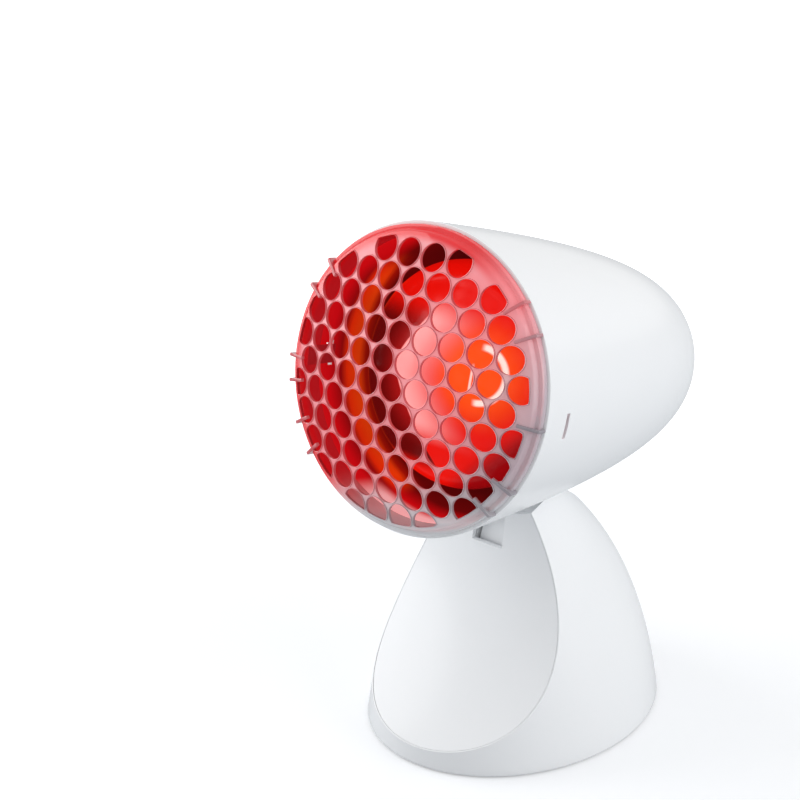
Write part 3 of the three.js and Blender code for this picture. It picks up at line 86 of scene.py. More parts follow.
class Graph:  # the nodes of one material, or of the world
    def __init__(self, tree):
        self.tree = tree

    def feed(self, socket, value):
        if isinstance(value, Link):
            self.tree.links.new(value.socket, socket)
        else:
            socket.default_value = value

    def node(self, kind, settings=None, inputs=None, output=0):
        made = self.tree.nodes.new(kind)
        for key, value in (settings or {}).items():
            if key == "stops":
                ramp = made.color_ramp
                while len(ramp.elements) < len(value):
                    ramp.elements.new(0.5)
                for element, (position, color) in zip(ramp.elements, value):
                    element.position = position
                    element.color = (*color, 1)
            else:
                setattr(made, key, value)
        for key, value in (inputs or {}).items():
            self.feed(made.inputs[key], value)
        return Link(self, made.outputs[output])

    def math(self, operation, *values):
        return self.node("ShaderNodeMath", {"operation": operation}, dict(enumerate(values)))

    def smooth(self, value, low, high):  # 0 below low, 1 above high
        return self.node("ShaderNodeMapRange", {"interpolation_type": "SMOOTHSTEP"},
                         {"Value": value, "From Min": low, "From Max": high})

    def mix(self, share, first, second):
        settings = {"data_type": "RGBA", "blend_type": "MIX"}
        return self.node("ShaderNodeMix", settings, {0: share, 6: first, 7: second}, output=2)

    def noise(self, position, perMetre, detail=2, roughness=0.5):
        return self.node("ShaderNodeTexNoise", None, {
            "Vector": position, "Scale": perMetre, "Detail": detail, "Roughness": roughness})

    def ramp(self, share, *stops):  # stops are positions with screen colours
        return self.node("ShaderNodeValToRGB", {"stops": [(at, rgb(code)[:3]) for at, code in stops]},
                         {"Fac": share})

    def bump(self, height, strength, depth):
        return self.node("ShaderNodeBump", None, {
            "Height": height, "Strength": strength, "Distance": depth * mm})


class Finish(Graph):  # one material, with the Principled shader that it feeds
    def __init__(self, name):
        self.material = bpy.data.materials.new(name)
        self.material.use_nodes = True
        super().__init__(self.material.node_tree)
        self.shader = self.tree.nodes["Principled BSDF"]
        self.position = self.node("ShaderNodeTexCoord", output=3)

    def give(self, values):
        for key, value in values.items():
            self.feed(self.shader.inputs[key], value)
        return self.material

    def inHead(self):  # x, depth behind the mouth and height over the axis, in metres
        back = headPlace.inverted()
        turned = self.node("ShaderNodeMapping", None, {
            "Vector": self.position, "Location": back.translation, "Rotation": back.to_euler()})
        apart = self.tree.nodes.new("ShaderNodeSeparateXYZ")
        self.feed(apart.inputs[0], turned)
        return [Link(self, output) for output in apart.outputs]


def rgb(code):  # a screen colour such as "f2f4f6" as linear light
    parts = [int(code[i:i + 2], 16) / 255 for i in (0, 2, 4)]
    return tuple(p / 12.92 if p <= 0.04045 else ((p + 0.055) / 1.055) ** 2.4 for p in parts) + (1,)


headPlace = (
    Matrix.Translation(hinge)
    @ Matrix.Rotation(-math.radians(head["tilt"]), 4, "X")
    @ Matrix.Translation((0, -head["mouthBeforeHinge"] * mm, head["axisAboveHinge"] * mm))
)


# Materials

def mouldedPlastic(name, light, shade, roughness, grain):
    finish = Finish(name)
    mottle = finish.noise(finish.position, 420, 3)
    fine = finish.noise(finish.position, 2600, 2)
    return finish.give({
        "Base Color": finish.mix(mottle, rgb(light), rgb(shade)),
        "Roughness": roughness + 0.06 * mottle,
        "Specular IOR Level": 0.4,
        "Coat Weight": 0.12 if roughness < 0.35 else 0.0,
        "Coat Roughness": 0.1,
        "Normal": finish.bump(fine, grain, 0.03),
    })


def innerWallPaintedGlow():  # inside of the head, painted with the bulb's light: a red glow at the mouth that darkens deeper in as painted shade, and a painted orange band where the bulb lights it
    finish = Finish("inner wall with painted bulb glow")
    x, depth, up = [part / mm for part in finish.inHead()]
    painted = 80  # mm of depth that the two ramps run over
    lit = finish.ramp(
        depth / painted, (0.0, "d81a22"), (0.2, "cc0c16"), (0.29, "8e0c10"), (0.34, "e83408"),
        (0.42, "f04a0c"), (0.47, "a01808"), (0.54, "520808"), (1.0, "2c0606"))
    plain = finish.ramp(
        depth / painted, (0.0, "d4161e"), (0.3, "c40c14"), (0.44, "560809"), (1.0, "2c0606"))
    # the side where the painted orange band of bulb light shows
    left = finish.smooth(-x - 0.1 * up, 22, 34) * (1 - finish.smooth(up, 30, 44))
    # the pale lower front, where the wall's own whitish colour shows with less painted glow
    pale = (1 - finish.smooth(up, -57, -51)) * (1 - finish.smooth(depth, 17, 24))
    # darker red streaks that vary the painted glow
    streak = finish.noise(finish.position, 60, 2)
    color = finish.mix(pale, finish.mix(left, plain, lit), rgb("f3c9cb"))
    color = finish.mix(0.25 * streak, color, rgb("a00a10"))
    return finish.give({
        "Base Color": color,
        "Roughness": 0.45 + 0.15 * streak,
        "Specular IOR Level": 0.08,
        # the wall glows with its painted colour, though it is no lamp
        "Emission Color": color,
        "Emission Strength": 0.5,
    })


def clearPlastic(name, bulbLightTints, clear):  # painted light: the red glow of the bulb seen in the clear plastic, redder round the upper left rim, with painted grey shade to the right and below
    finish = Finish(name)
    x, depth, up = [part / mm for part in finish.inHead()]
    radius = finish.math("SQRT", x * x + up * up)
    # masks of painted light: grey shade to the right, paler below, red bulb glow round the upper left rim and on
    # the skirt inside
    grey = finish.smooth(x - 0.35 * up, 24, 62)
    pale = finish.smooth(0.3 * x - up, 36, 58)
    red = finish.smooth(radius, 55, 59) * (1 - finish.smooth(x - 0.5 * up, -12, 28))
    inside = finish.smooth(depth, -1.5, 1.5) * (1 - grey)
    ripple = finish.noise(finish.position, 90, 2)
    bulbRedGlow = finish.mix(inside, finish.mix(red, rgb(bulbLightTints["web"]), rgb(bulbLightTints["rim"])), rgb(bulbLightTints["skirt"]))
    color = finish.mix(pale, finish.mix(grey, bulbRedGlow, rgb(bulbLightTints["grey"])), rgb(bulbLightTints["pale"]))
    # the guard glows faintly in the painted colours, though it is no lamp
    glow = finish.mix(pale, finish.mix(grey, bulbRedGlow, rgb("40282c")), rgb("3c3437"))
    return finish.give({
        "Base Color": finish.mix(0.2 * ripple * (1 - 0.85 * red), color, rgb("ffffff")),
        "Roughness": 0.05 + 0.06 * ripple,
        "Alpha": clear - 0.04 * grey + 0.2 * red,
        "Coat Weight": 0.5,
        "Coat Roughness": 0.03,
        "Emission Color": glow,
        "Emission Strength": 0.24,
        "IOR": 1.49,
    })


def redGlass():  # ruby face painted with light: painted dark shade on the left side, a sharp-edged painted pale glare beside it and painted orange reflection to the right
    finish = Finish("ruby bulb glass")
    x, _, up = [part / mm for part in finish.inHead()]
    root = lambda value: finish.math("SQRT", value)
    shine = {"edge": 27, "bend": 0.7, "middle": 1, "blunt": 20, "reach": 30}  # painted pale glare with a bent edge
    paintedGlint = {"x": 18.5, "up": 5.5, "radius": 11.4, "lineX": 15.7, "lineUp": 3.6}  # painted highlight: a thin bright arc and line
    high = up - shine["middle"]
    beyond = x + shine["edge"] - shine["bend"] * root(high * high + shine["blunt"])
    right = finish.smooth(beyond, -0.6, 0.6)
    within = 1 - finish.smooth(finish.math("ABSOLUTE", high), 20, 31)
    glare = right * within * (1 - finish.smooth(beyond, -2, shine["reach"]))
    radius = root(x * x + up * up)
    ring = root((x - paintedGlint["x"]) * (x - paintedGlint["x"]) + (up - paintedGlint["up"]) * (up - paintedGlint["up"]))
    # painted orange reflection round the glint, red farther out, and painted shade at the lower right
    plain = finish.mix(finish.smooth(ring, 9, 27), rgb("f4500e"), rgb("dd1208"))
    plain = finish.mix(finish.smooth(x - up, 46, 60), plain, rgb("8e0a10"))
    # painted dark reflection on the left side, darker outwards
    dark = finish.mix(finish.smooth(radius, 18, 36), rgb("a01414"), rgb("5c0a0a"))
    leftShade = (1 - right) * (1 - finish.smooth(up, 16, 30)) * finish.smooth(up, -42, -35)
    color = finish.mix(leftShade, plain, dark)
    color = finish.mix(glare, color, rgb("f6aaa8"))
    # the arc and line are painted highlights
    arc = (1 - finish.smooth(finish.math("ABSOLUTE", ring - paintedGlint["radius"]), 0.5, 1.9)) \
        * finish.smooth(x, 17, 20)
    line = (1 - finish.smooth(finish.math("ABSOLUTE", x - paintedGlint["lineX"]), 0.2, 0.8)) \
        * (1 - finish.smooth(finish.math("ABSOLUTE", up - paintedGlint["lineUp"]), 4, 6.5))
    color = finish.mix(finish.math("MAXIMUM", arc, 0.7 * line), color, rgb("fff0e4"))
    return finish.give({
        "Base Color": color,
        "Roughness": 0.16 + 0.06 * finish.noise(finish.position, 40),
        "Specular IOR Level": 0.2,
        "Emission Color": color,
        "Emission Strength": 0.5,
    })


def bareMetal(name, light, shade, roughness, streaks=(400, 60, 400)):
    finish = Finish(name)
    drawn = finish.node("ShaderNodeMapping", None, {"Vector": finish.position, "Scale": streaks})
    grain = finish.noise(drawn, 6, 3)
    return finish.give({
        "Base Color": finish.mix(grain, rgb(light), rgb(shade)),
        "Metallic": 1.0,
        "Roughness": roughness + 0.12 * grain,
        "Normal": finish.bump(grain, 0.08, 0.05),
    })


def glazedCeramic():
    finish = Finish("glazed ceramic")
    speck = finish.smooth(finish.noise(finish.position, 700, 3), 0.62, 0.72)
    return finish.give({
        "Base Color": finish.mix(0.5 * speck, rgb("efece3"), rgb("cfc8b8")),
        "Roughness": 0.22 + 0.2 * speck,
        "Coat Weight": 0.6,
        "Normal": finish.bump(finish.noise(finish.position, 160, 3), 0.1, 0.1),
    })


def softRubber():
    finish = Finish("foot rubber")
    dust = finish.noise(finish.position, 500, 4)
    return finish.give({
        "Base Color": finish.mix(dust, rgb("3a3b3d"), rgb("55565a")),
        "Roughness": 0.75 + 0.2 * dust,
        "Normal": finish.bump(finish.noise(finish.position, 1800, 2), 0.25, 0.08),
    })


finishes = {
    "white": mouldedPlastic("white shell", "f4f5f7", "f2f4f6", 0.22, 0.03),
    "innerWallPaintedGlow": innerWallPaintedGlow(),
    "baseWhite": mouldedPlastic("white base plate", "e6e6e4", "dddedd", 0.5, 0.5),
    "black": mouldedPlastic("black fittings", "1d1d1f", "26272a", 0.38, 0.4),
    # the guard's tints are painted bulb light: pink and red glow, with darker crimson painted on the bores and
    # darker painted shade on the ribs
    "clear": clearPlastic("clear guard", {
        "web": "f2949b", "rim": "e0101c", "skirt": "cc1c26", "grey": "d6ccd5", "pale": "e6ebef"}, 0.66),
    "clearEdge": clearPlastic("clear guard bores", {
        "web": "b8222e", "rim": "a81620", "skirt": "b01822", "grey": "8d7a86", "pale": "9c949c"}, 0.8),
    "clearRib": clearPlastic("clear ribs", {
        "web": "c04a52", "rim": "b4343c", "skirt": "b02a32", "grey": "8a828c", "pale": "96929a"}, 0.95),
    "ruby": redGlass(),
    "steel": bareMetal("zinc plated steel", "c3c6ca", "9fa3a8", 0.28),
    "brass": bareMetal("bright brass", "d3b065", "a98746", 0.22),
    "ceramic": glazedCeramic(),
    "rubber": softRubber(),
    "brownLead": mouldedPlastic("brown lead", "6a3418", "5a2b14", 0.45, 0.2),
    "blueLead": mouldedPlastic("blue lead", "2f55a6", "274a93", 0.45, 0.2),
    "stem": mouldedPlastic("bulb stem glass", "e8ecea", "dfe5e3", 0.12, 0.02),
}
slotFinish = {
    "white_shell": "white", "plain_white": "baseWhite", "clear_plastic": "clear", "red_glass": "ruby",
    "clear_glass": "stem", "black_glass": "black", "ceramic": "ceramic", "black_plastic": "black",
    "rubber": "rubber", "steel": "steel", "brass": "brass", "brown_lead": "brownLead",
    "blue_lead": "blueLead",
}
slotOf = {part["node"]: part["material_slot"] for part in frame["record"]["subparts"]}
for nodeName, piece in frame["nodes"].items():
    piece.data.materials.clear()
    piece.data.materials.append(finishes[slotFinish[slotOf[nodeName]]])
bodyOf = {node: body for body, nodes in frame["record"]["behaviour"]["bodies"].items() for node in nodes}
print("materials made:", len(finishes))


# Mesh tools

def headRadius(depth, inset=0):
    share = max(0, 1 - depth / (head["length"] - inset))
    return (head["mouthRadius"] - inset) * share ** head["taperPower"]


def headOutline(inset, steps):  # radius and depth, closer together where the outline curves most
    points = []
    for i in range(steps):
        depth = (head["length"] - inset) * math.sin(math.pi / 2 * i / steps) ** 2
        points.append((headRadius(depth, inset), depth))
    return points + [(0, head["length"] - inset)]


def spun(points, sides, place=Matrix()):  # points are radius and depth in mm, turned about the depth axis
    bm = bmesh.new()
    verts = [bm.verts.new((radius * mm, depth * mm, 0)) for radius, depth in points]
    edges = [bm.edges.new(pair) for pair in zip(verts, verts[1:])]
    bmesh.ops.spin(bm, geom=verts + edges, cent=(0, 0, 0), axis=(0, 1, 0), angle=2 * math.pi,
                   steps=sides, use_merge=True)
    bmesh.ops.remove_doubles(bm, verts=bm.verts, dist=fit["weld"] * mm)
    bmesh.ops.recalc_face_normals(bm, faces=bm.faces)
    bmesh.ops.transform(bm, matrix=place, verts=bm.verts)
    return bm


def block(low, high, place=Matrix(), rounding=0, segments=3):  # box between two corners in mm
    bm = bmesh.new()
    size = [(h - l) * mm for l, h in zip(low, high)]
    middle = [(h + l) / 2 * mm for l, h in zip(low, high)]
    bmesh.ops.create_cube(bm, size=1)
    bmesh.ops.scale(bm, vec=size, verts=bm.verts)
    bmesh.ops.translate(bm, vec=middle, verts=bm.verts)
    if rounding:
        roundEdges(bm, rounding, segments)
    bmesh.ops.transform(bm, matrix=place, verts=bm.verts)
    return bm


def rod(radius, low, high, axis="Z", x=0, y=0, sides=48, place=Matrix()):  # x and y lie across the axis
    turn = {"X": Matrix.Rotation(math.pi / 2, 4, "Y"), "Y": Matrix.Rotation(-math.pi / 2, 4, "X"),
            "Z": Matrix()}
    bm = bmesh.new()
    bmesh.ops.create_cone(bm, cap_ends=True, segments=sides, radius1=radius * mm, radius2=radius * mm,
                          depth=(high - low) * mm)
    bmesh.ops.translate(bm, vec=(0, 0, (high + low) / 2 * mm), verts=bm.verts)
    bmesh.ops.transform(bm, matrix=turn[axis], verts=bm.verts)
    offset = {"X": (0, x, y), "Y": (x, 0, y), "Z": (x, y, 0)}[axis]
    bmesh.ops.translate(bm, vec=[part * mm for part in offset], verts=bm.verts)
    bmesh.ops.transform(bm, matrix=place, verts=bm.verts)
    return bm


def drawnThrough(bm, edges, steps):  # draws a closed loop of edges through steps, then caps its end
    for step in steps:
        made = bmesh.ops.extrude_edge_only(bm, edges=edges)["geom"]
        verts = [part for part in made if isinstance(part, bmesh.types.BMVert)]
        edges = [part for part in made if isinstance(part, bmesh.types.BMEdge)
                 and all(vert in verts for vert in part.verts)]
        bmesh.ops.transform(bm, matrix=step, verts=verts)
    bmesh.ops.edgeloop_fill(bm, edges=edges)
    bmesh.ops.recalc_face_normals(bm, faces=bm.faces)
    return bm


def roundEdges(bm, width, segments=2, sharpDegrees=30):
    sharp = [e for e in bm.edges if len(e.link_faces) == 2
             and e.calc_face_angle(0) > math.radians(sharpDegrees)]
    bmesh.ops.bevel(bm, geom=sharp, offset=width * mm, offset_type="OFFSET", segments=segments,
                    profile=0.5, affect="EDGES", clamp_overlap=True, material=-1)


def toolFrom(bm):
    mesh = bpy.data.meshes.new("tool")
    bm.to_mesh(mesh)
    bm.free()
    tool = bpy.data.objects.new("tool", mesh)
    scene.collection.objects.link(tool)
    return tool


def combine(bm, operation, *others):  # joins, cuts or keeps what is shared, one after the other
    piece = toolFrom(bm)
    tools = [toolFrom(other) for other in others]
    for tool in tools:
        change = piece.modifiers.new("change", "BOOLEAN")
        change.operation = operation
        change.solver = "EXACT"
        change.object = tool
    bpy.context.view_layer.update()
    mesh = piece.evaluated_get(bpy.context.evaluated_depsgraph_get()).to_mesh()
    result = bmesh.new()
    result.from_mesh(mesh)
    for used in [piece, *tools]:
        bpy.data.objects.remove(used)
    return result


def addPiece(name, bm, finish, *nodes, body=None, smoothDegrees=32):
    mesh = bpy.data.meshes.new(name)
    bm.to_mesh(mesh)
    bm.free()
    mesh.shade_smooth()
    mesh.set_sharp_from_angle(angle=math.radians(smoothDegrees))
    piece = bpy.data.objects.new(name, mesh)
    scene.collection.objects.link(piece)
    mesh.materials.append(finishes[finish])
    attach(piece, body or bodyOf[nodes[0]])
    if nodes:
        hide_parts(*nodes)
    return piece


# Stand

def standHalfWidth(z):
    return stand["width"] / 2 * (1 - (z / stand["sideVanish"]) ** stand["sidePower"])


def standBack(z):
    return stand["depth"] / 2 * (1 - (z / stand["backVanish"]) ** stand["backPower"])


def standSection(z, inset):  # places a unit circle on the stand's ellipse at a height
    section = max(z, stand["lift"])
    middle = standBack(section) - stand["depth"] / 2
    size = (standHalfWidth(section) - inset, stand["depth"] / 2 - inset, 1)
    return Matrix.Translation((0, middle * mm, z * mm)) @ Matrix.Diagonal([*(s * mm for s in size), 1])


def standSolid(inset, bottom=stand["lift"], foot=0):
    heights = [bottom + (stand["cut"] - bottom) * i / stand["rings"] for i in range(stand["rings"] + 1)]
    sections = [(z, inset) for z in heights]
    if foot:  # round the lower edge over
        turns = [math.pi / 2 * i / 4 for i in range(4)]
        sections = [(bottom + foot * (1 - math.cos(t)), inset + foot * (1 - math.sin(t))) for t in turns] \
            + [(bottom + foot, inset)] + [(z, inset) for z in heights if z > bottom + foot]
    places = [standSection(*section) for section in sections]
    bm = bmesh.new()
    bmesh.ops.create_circle(bm, cap_ends=True, segments=stand["sides"], radius=1, matrix=places[0])
    return drawnThrough(bm, list(bm.edges), [new @ old.inverted() for old, new in zip(places, places[1:])])


def beforePanel(depth):  # all that lies in front of the panel's face, with the face moved back by a depth
    toe = Vector((-stand["depth"] / 2, stand["toeHeight"]))
    neck = Vector((-stand["neckBefore"], stand["neckHeight"]))
    chord = neck - toe
    rise = math.sqrt(stand["arcRadius"] ** 2 - (chord.length / 2) ** 2)
    centre = (toe + neck) / 2 + Vector((-chord.y, chord.x)).normalized() * rise
    arcSteps, crossSteps = 48, 40
    fromAngle, toAngle = math.radians(-72), math.radians(14)
    half = stand["width"] / 2 + fit["overrun"]
    bm = bmesh.new()
    corners = []
    for i in range(arcSteps + 1):
        angle = fromAngle + (toAngle - fromAngle) * i / arcSteps
        corners.append((centre.x + stand["arcRadius"] * math.cos(angle),
                        centre.y + stand["arcRadius"] * math.sin(angle)))
    corners += [(-stand["depth"], corners[-1][1]), (-stand["depth"], corners[0][1] - stand["toeHeight"])]
    crown = lambda x: x ** 2 / (2 * stand["crownRadius"])
    verts = [bm.verts.new((-half * mm, (y + depth + crown(half)) * mm, z * mm)) for y, z in corners]
    bm.faces.new(verts)
    across = [-half + 2 * half * i / crossSteps for i in range(crossSteps + 1)]
    steps = [Matrix.Translation(((b - a) * mm, (crown(b) - crown(a)) * mm, 0))
             for a, b in zip(across, across[1:])]
    return drawnThrough(bm, list(bm.edges), steps)


def headSolid(inset, tilt):
    place = Matrix.Translation(hinge) @ Matrix.Rotation(-math.radians(tilt), 4, "X") \
        @ Matrix.Translation((0, -head["mouthBeforeHinge"] * mm, head["axisAboveHinge"] * mm))
    return spun([(0, 0), *headOutline(inset, head["steps"])], 96, place)


def undersideRadius(x):  # least distance from the hinge to the head's underside
    depths = [head["length"] * i / 400 for i in range(400)]
    reach = [math.hypot(depth - head["mouthBeforeHinge"],
                        head["axisAboveHinge"] - math.sqrt(headRadius(depth) ** 2 - x ** 2))
             for depth in depths if headRadius(depth) > abs(x)]
    return min(reach)


def headSweep(gap):  # space that the head sweeps between its tilt limits
    low, high = head["tilt"] - head["tiltDown"], head["tilt"] + head["tiltUp"]
    half, steps = 38, 40  # half the width in mm, wider than the stand's neck
    across = [-half + 2 * half * i / steps for i in range(steps + 1)]
    bm = bmesh.new()
    start = Matrix.Translation(hinge) @ Matrix.Rotation(-math.radians(low), 4, "X")
    near = [bm.verts.new(start @ Vector((x * mm, 0, (undersideRadius(x) - gap) * mm))) for x in across]
    far = [bm.verts.new(start @ Vector((x * mm, 0, head["axisAboveHinge"] * mm))) for x in (half, -half)]
    face = bm.faces.new(near + far)
    bmesh.ops.spin(bm, geom=[face], cent=hinge, axis=(-1, 0, 0), angle=math.radians(high - low), steps=24)
    bmesh.ops.recalc_face_normals(bm, faces=bm.faces)
    return combine(bm, "UNION", headSolid(-gap, low), headSolid(-gap, high))


def aroundBase(inset, degrees):  # four places round the stand's ellipse
    return [((stand["width"] / 2 - inset) * math.cos(math.radians(angle)),
             (stand["depth"] / 2 - inset) * math.sin(math.radians(angle)))
            for angle in (degrees, 180 - degrees, 180 + degrees, 360 - degrees)]


def upright(low, high):  # a block with its corners in either order
    return block([min(pair) for pair in zip(low, high)], [max(pair) for pair in zip(low, high)])


def buildStand():
    side, outer = stand["slotWidth"] / 2, stand["slotWidth"] / 2 + stand["cheek"]
    hingeY, hingeZ = hinge.y / mm, hinge.z / mm
    yoke = {"foot": 36, "bridgeTop": 24, "bridgeFront": 30.36, "bridgeBack": 24.36,  # mm from the hinge
            "cheekFront": 27, "cheekBack": 30, "screwFront": 36, "screwBack": 20}
    foot, bridgeTop = hingeZ - yoke["foot"], hingeZ - yoke["bridgeTop"]
    shell = combine(standSolid(0, foot=0.6), "DIFFERENCE", beforePanel(0), headSweep(fit["swingGap"]))
    rebate = combine(standSolid(stand["seamInset"]), "INTERSECT",
                     beforePanel(stand["panelThickness"] + fit["gap"]))
    hollow = combine(standSolid(stand["wall"], stand["lift"] - fit["overrun"]), "DIFFERENCE",
                     headSweep(fit["swingGap"] + stand["wall"]))
    shell = combine(shell, "DIFFERENCE", rebate, hollow)

    post = {"radius": 4.2, "from": 4.2, "to": 18, "inset": 9, "angle": 28}
    posts = aroundBase(post["inset"], post["angle"])
    switch = {"height": 36, "lean": 15.4, "seat": 1.9, "bezel": (15, 21), "body": (12.6, 18.6, 14),
              "border": 2.5, "thickness": 3}
    gland = {"height": 13, "seat": 1.1, "flange": 7.6, "neck": 5, "neckLength": 8}
    seat = standBack(gland["height"]) - gland["seat"]
    atSwitch = Matrix.Translation((0, standBack(switch["height"]) * mm, switch["height"] * mm)) \
        @ Matrix.Rotation(math.radians(switch["lean"]), 4, "X") \
        @ Matrix.Translation((0, -switch["seat"] * mm, 0))
    inside = combine(standSolid(stand["wall"] / 2), "DIFFERENCE",
                     beforePanel(stand["panelThickness"] + 2 * fit["gap"]), headSweep(fit["swingGap"]))
    cheeks = [upright((s * side, hingeY - yoke["cheekFront"], foot),
                      (s * outer, hingeY + yoke["cheekBack"], stand["cut"])) for s in (-1, 1)]
    bridge = block((-outer, hingeY - yoke["bridgeFront"], foot),
                   (outer, hingeY - yoke["bridgeBack"], bridgeTop))
    columns = [rod(post["radius"], post["from"], post["to"], "Z", x, y) for x, y in posts]
    halfWidth, halfHeight = (size / 2 + switch["border"] for size in switch["bezel"])
    pad = block((-halfWidth, -switch["thickness"], -halfHeight),
                (halfWidth, switch["seat"], halfHeight), atSwitch)
    glandPad = rod(gland["flange"] + fit["gap"], seat - stand["wall"], seat + gland["seat"], "Y",
                   0, gland["height"])
    fittings = [combine(part, "INTERSECT", inside.copy())
                for part in [*cheeks, bridge, *columns, pad, glandPad]]
    inside.free()
    shell = combine(shell, "UNION", *fittings)

    slot = combine(
        rod(stand["slotRadius"], -side, side, "X", hingeY, hingeZ, 120), "INTERSECT",
        block((-side, -stand["depth"], bridgeTop), (side, stand["depth"], stand["cut"])))
    gap, over = fit["gap"], fit["overrun"]
    wide, tall = (size / 2 + gap for size in switch["bezel"])
    bodyWide, bodyTall, bodyDeep = switch["body"][0] / 2 + gap, switch["body"][1] / 2 + gap, switch["body"][2]
    cuts = [
        slot,
        block((-wide, 0, -tall), (wide, over, tall), atSwitch),
        block((-bodyWide, -bodyDeep, -bodyTall), (bodyWide, over, bodyTall), atSwitch),
        rod(gland["flange"] + gap, seat, seat + over, "Y", 0, gland["height"]),
        rod(gland["neck"] + gap, seat - gland["neckLength"], seat + over, "Y", 0, gland["height"]),
        rod(bore["pin"], -outer - over, outer + over, "X", hingeY, hingeZ),
        rod(bore["screw"], hingeY - yoke["screwFront"], hingeY - yoke["screwBack"], "Y",
            0, (foot + bridgeTop) / 2),
        *(rod(bore["screw"], 0, post["to"] - stand["wall"], "Z", x, y, 24) for x, y in posts),
    ]
    addPiece("stand_skin", combine(shell, "DIFFERENCE", *cuts), "white", "stand_shell")

    panel = combine(standSolid(stand["seamInset"] + fit["seam"]), "INTERSECT",
                    beforePanel(stand["panelThickness"]))
    notch = block((-side, -stand["depth"], stand["sill"]), (side, stand["depth"], stand["cut"]))
    panel = combine(panel, "DIFFERENCE", beforePanel(0), headSweep(fit["swingGap"]), notch)
    addPiece("stand_face", panel, "white", "front_panel")
    print("stand built")


buildStand()


# Head shell

# for the arm's screws and the leads: across, behind the hinge, radius
armHoles = [(-3.4, -6.5, bore["screw"]), (3.4, -6.5, bore["screw"]), (0, 6.8, bore["lead"])]


def buildHeadShell():
    outer = headOutline(0, head["steps"])
    inner = headOutline(head["wall"], head["steps"])
    lip = head["lipRound"]
    edge = [(headRadius(lip) - lip * (1 - math.sin(t)), lip * (1 - math.cos(t)))
            for t in (math.radians(a) for a in (0, 30, 60, 90))]
    points = [*reversed(inner), *edge, *(point for point in outer if point[1] > lip)]
    shell = spun(points, head["sides"], headPlace)

    latch = {"turn": 94, "hookStart": 15.6, "slitLength": 10.5, "slitHeight": 2.4, "slitBelow": 8,
             "groove": 8.6, "reach": 1.1}
    cutters = []
    for s in (-1, 1):
        turn = headPlace @ Matrix.Rotation(s * math.radians(latch["turn"]), 4, "Y")
        cutters.append(block(
            (-latch["slitLength"] / 2, latch["hookStart"] - fit["gap"],
             head["mouthRadius"] - latch["slitBelow"]),
            (latch["slitLength"] / 2, latch["hookStart"] - fit["gap"] + latch["slitHeight"],
             head["mouthRadius"] + fit["overrun"]), turn))
    vent = {"count": 7, "spacing": 13, "width": 3.2, "start": 132, "length": 24, "from": 20, "round": 0.48}
    for i in range(vent["count"]):
        angle = math.pi + math.radians(vent["spacing"]) * (i - (vent["count"] - 1) / 2)
        turn = headPlace @ Matrix.Rotation(angle, 4, "Y")
        cutter = block((-vent["width"] / 2, vent["start"], vent["from"]),
                       (vent["width"] / 2, vent["start"] + vent["length"], head["mouthRadius"]))
        roundEdges(cutter, vent["width"] * vent["round"], 6)
        bmesh.ops.transform(cutter, matrix=turn, verts=cutter.verts)
        cutters.append(cutter)
    post = {"radius": 3.6, "from": 129.8, "offset": 31.5, "count": 3, "screwDepth": 9}
    within = spun([(0, 0), *headOutline(head["wall"] / 2, head["steps"])], 96, headPlace)
    columns = []
    for i in range(post["count"]):
        angle = 2 * math.pi * i / post["count"]
        x, up = post["offset"] * math.sin(angle), post["offset"] * math.cos(angle)
        column = rod(post["radius"], post["from"], head["length"], "Y", x, up, 32, headPlace)
        columns.append(combine(column, "INTERSECT", within.copy()))
        cutters.append(rod(bore["screw"], post["from"] - 1, post["from"] + post["screwDepth"], "Y",
                           x, up, 24, headPlace))
    within.free()
    atHinge = Matrix.Translation(hinge) @ Matrix.Rotation(-math.radians(head["tilt"]), 4, "X")
    for x, y, radius in armHoles:
        cutters.append(rod(radius, 0, head["axisAboveHinge"] / 2, "Z", x, y, 32, atHinge))
    for s in (-1, 1):  # grooves that guide the guard's hooks
        turn = headPlace @ Matrix.Rotation(s * math.radians(latch["turn"]), 4, "Y")
        wall = headRadius(latch["hookStart"], head["wall"])
        cutters.append(block(
            (-latch["groove"] / 2, -fit["overrun"], wall - fit["overrun"]),
            (latch["groove"] / 2, latch["hookStart"], wall + latch["reach"] + fit["gap"]), turn))
    shell = combine(combine(shell, "UNION", *columns), "DIFFERENCE", *cutters)
    skin = addPiece("head_skin", shell, "white", "head_shell")
    skin.data.materials.append(finishes["innerWallPaintedGlow"])
    # faces inside the head take the inner wall painted with the bulb's glow
    back = headPlace.inverted()
    for face in skin.data.polygons:
        place = back @ face.center / mm
        indoors = math.hypot(place.x, place.z) < headRadius(max(0, place.y), head["wall"] * 0.6)
        face.material_index = int(indoors and place.y > 2 * head["lipRound"])
    print("head shell built")


buildHeadShell()


# Tilt arm

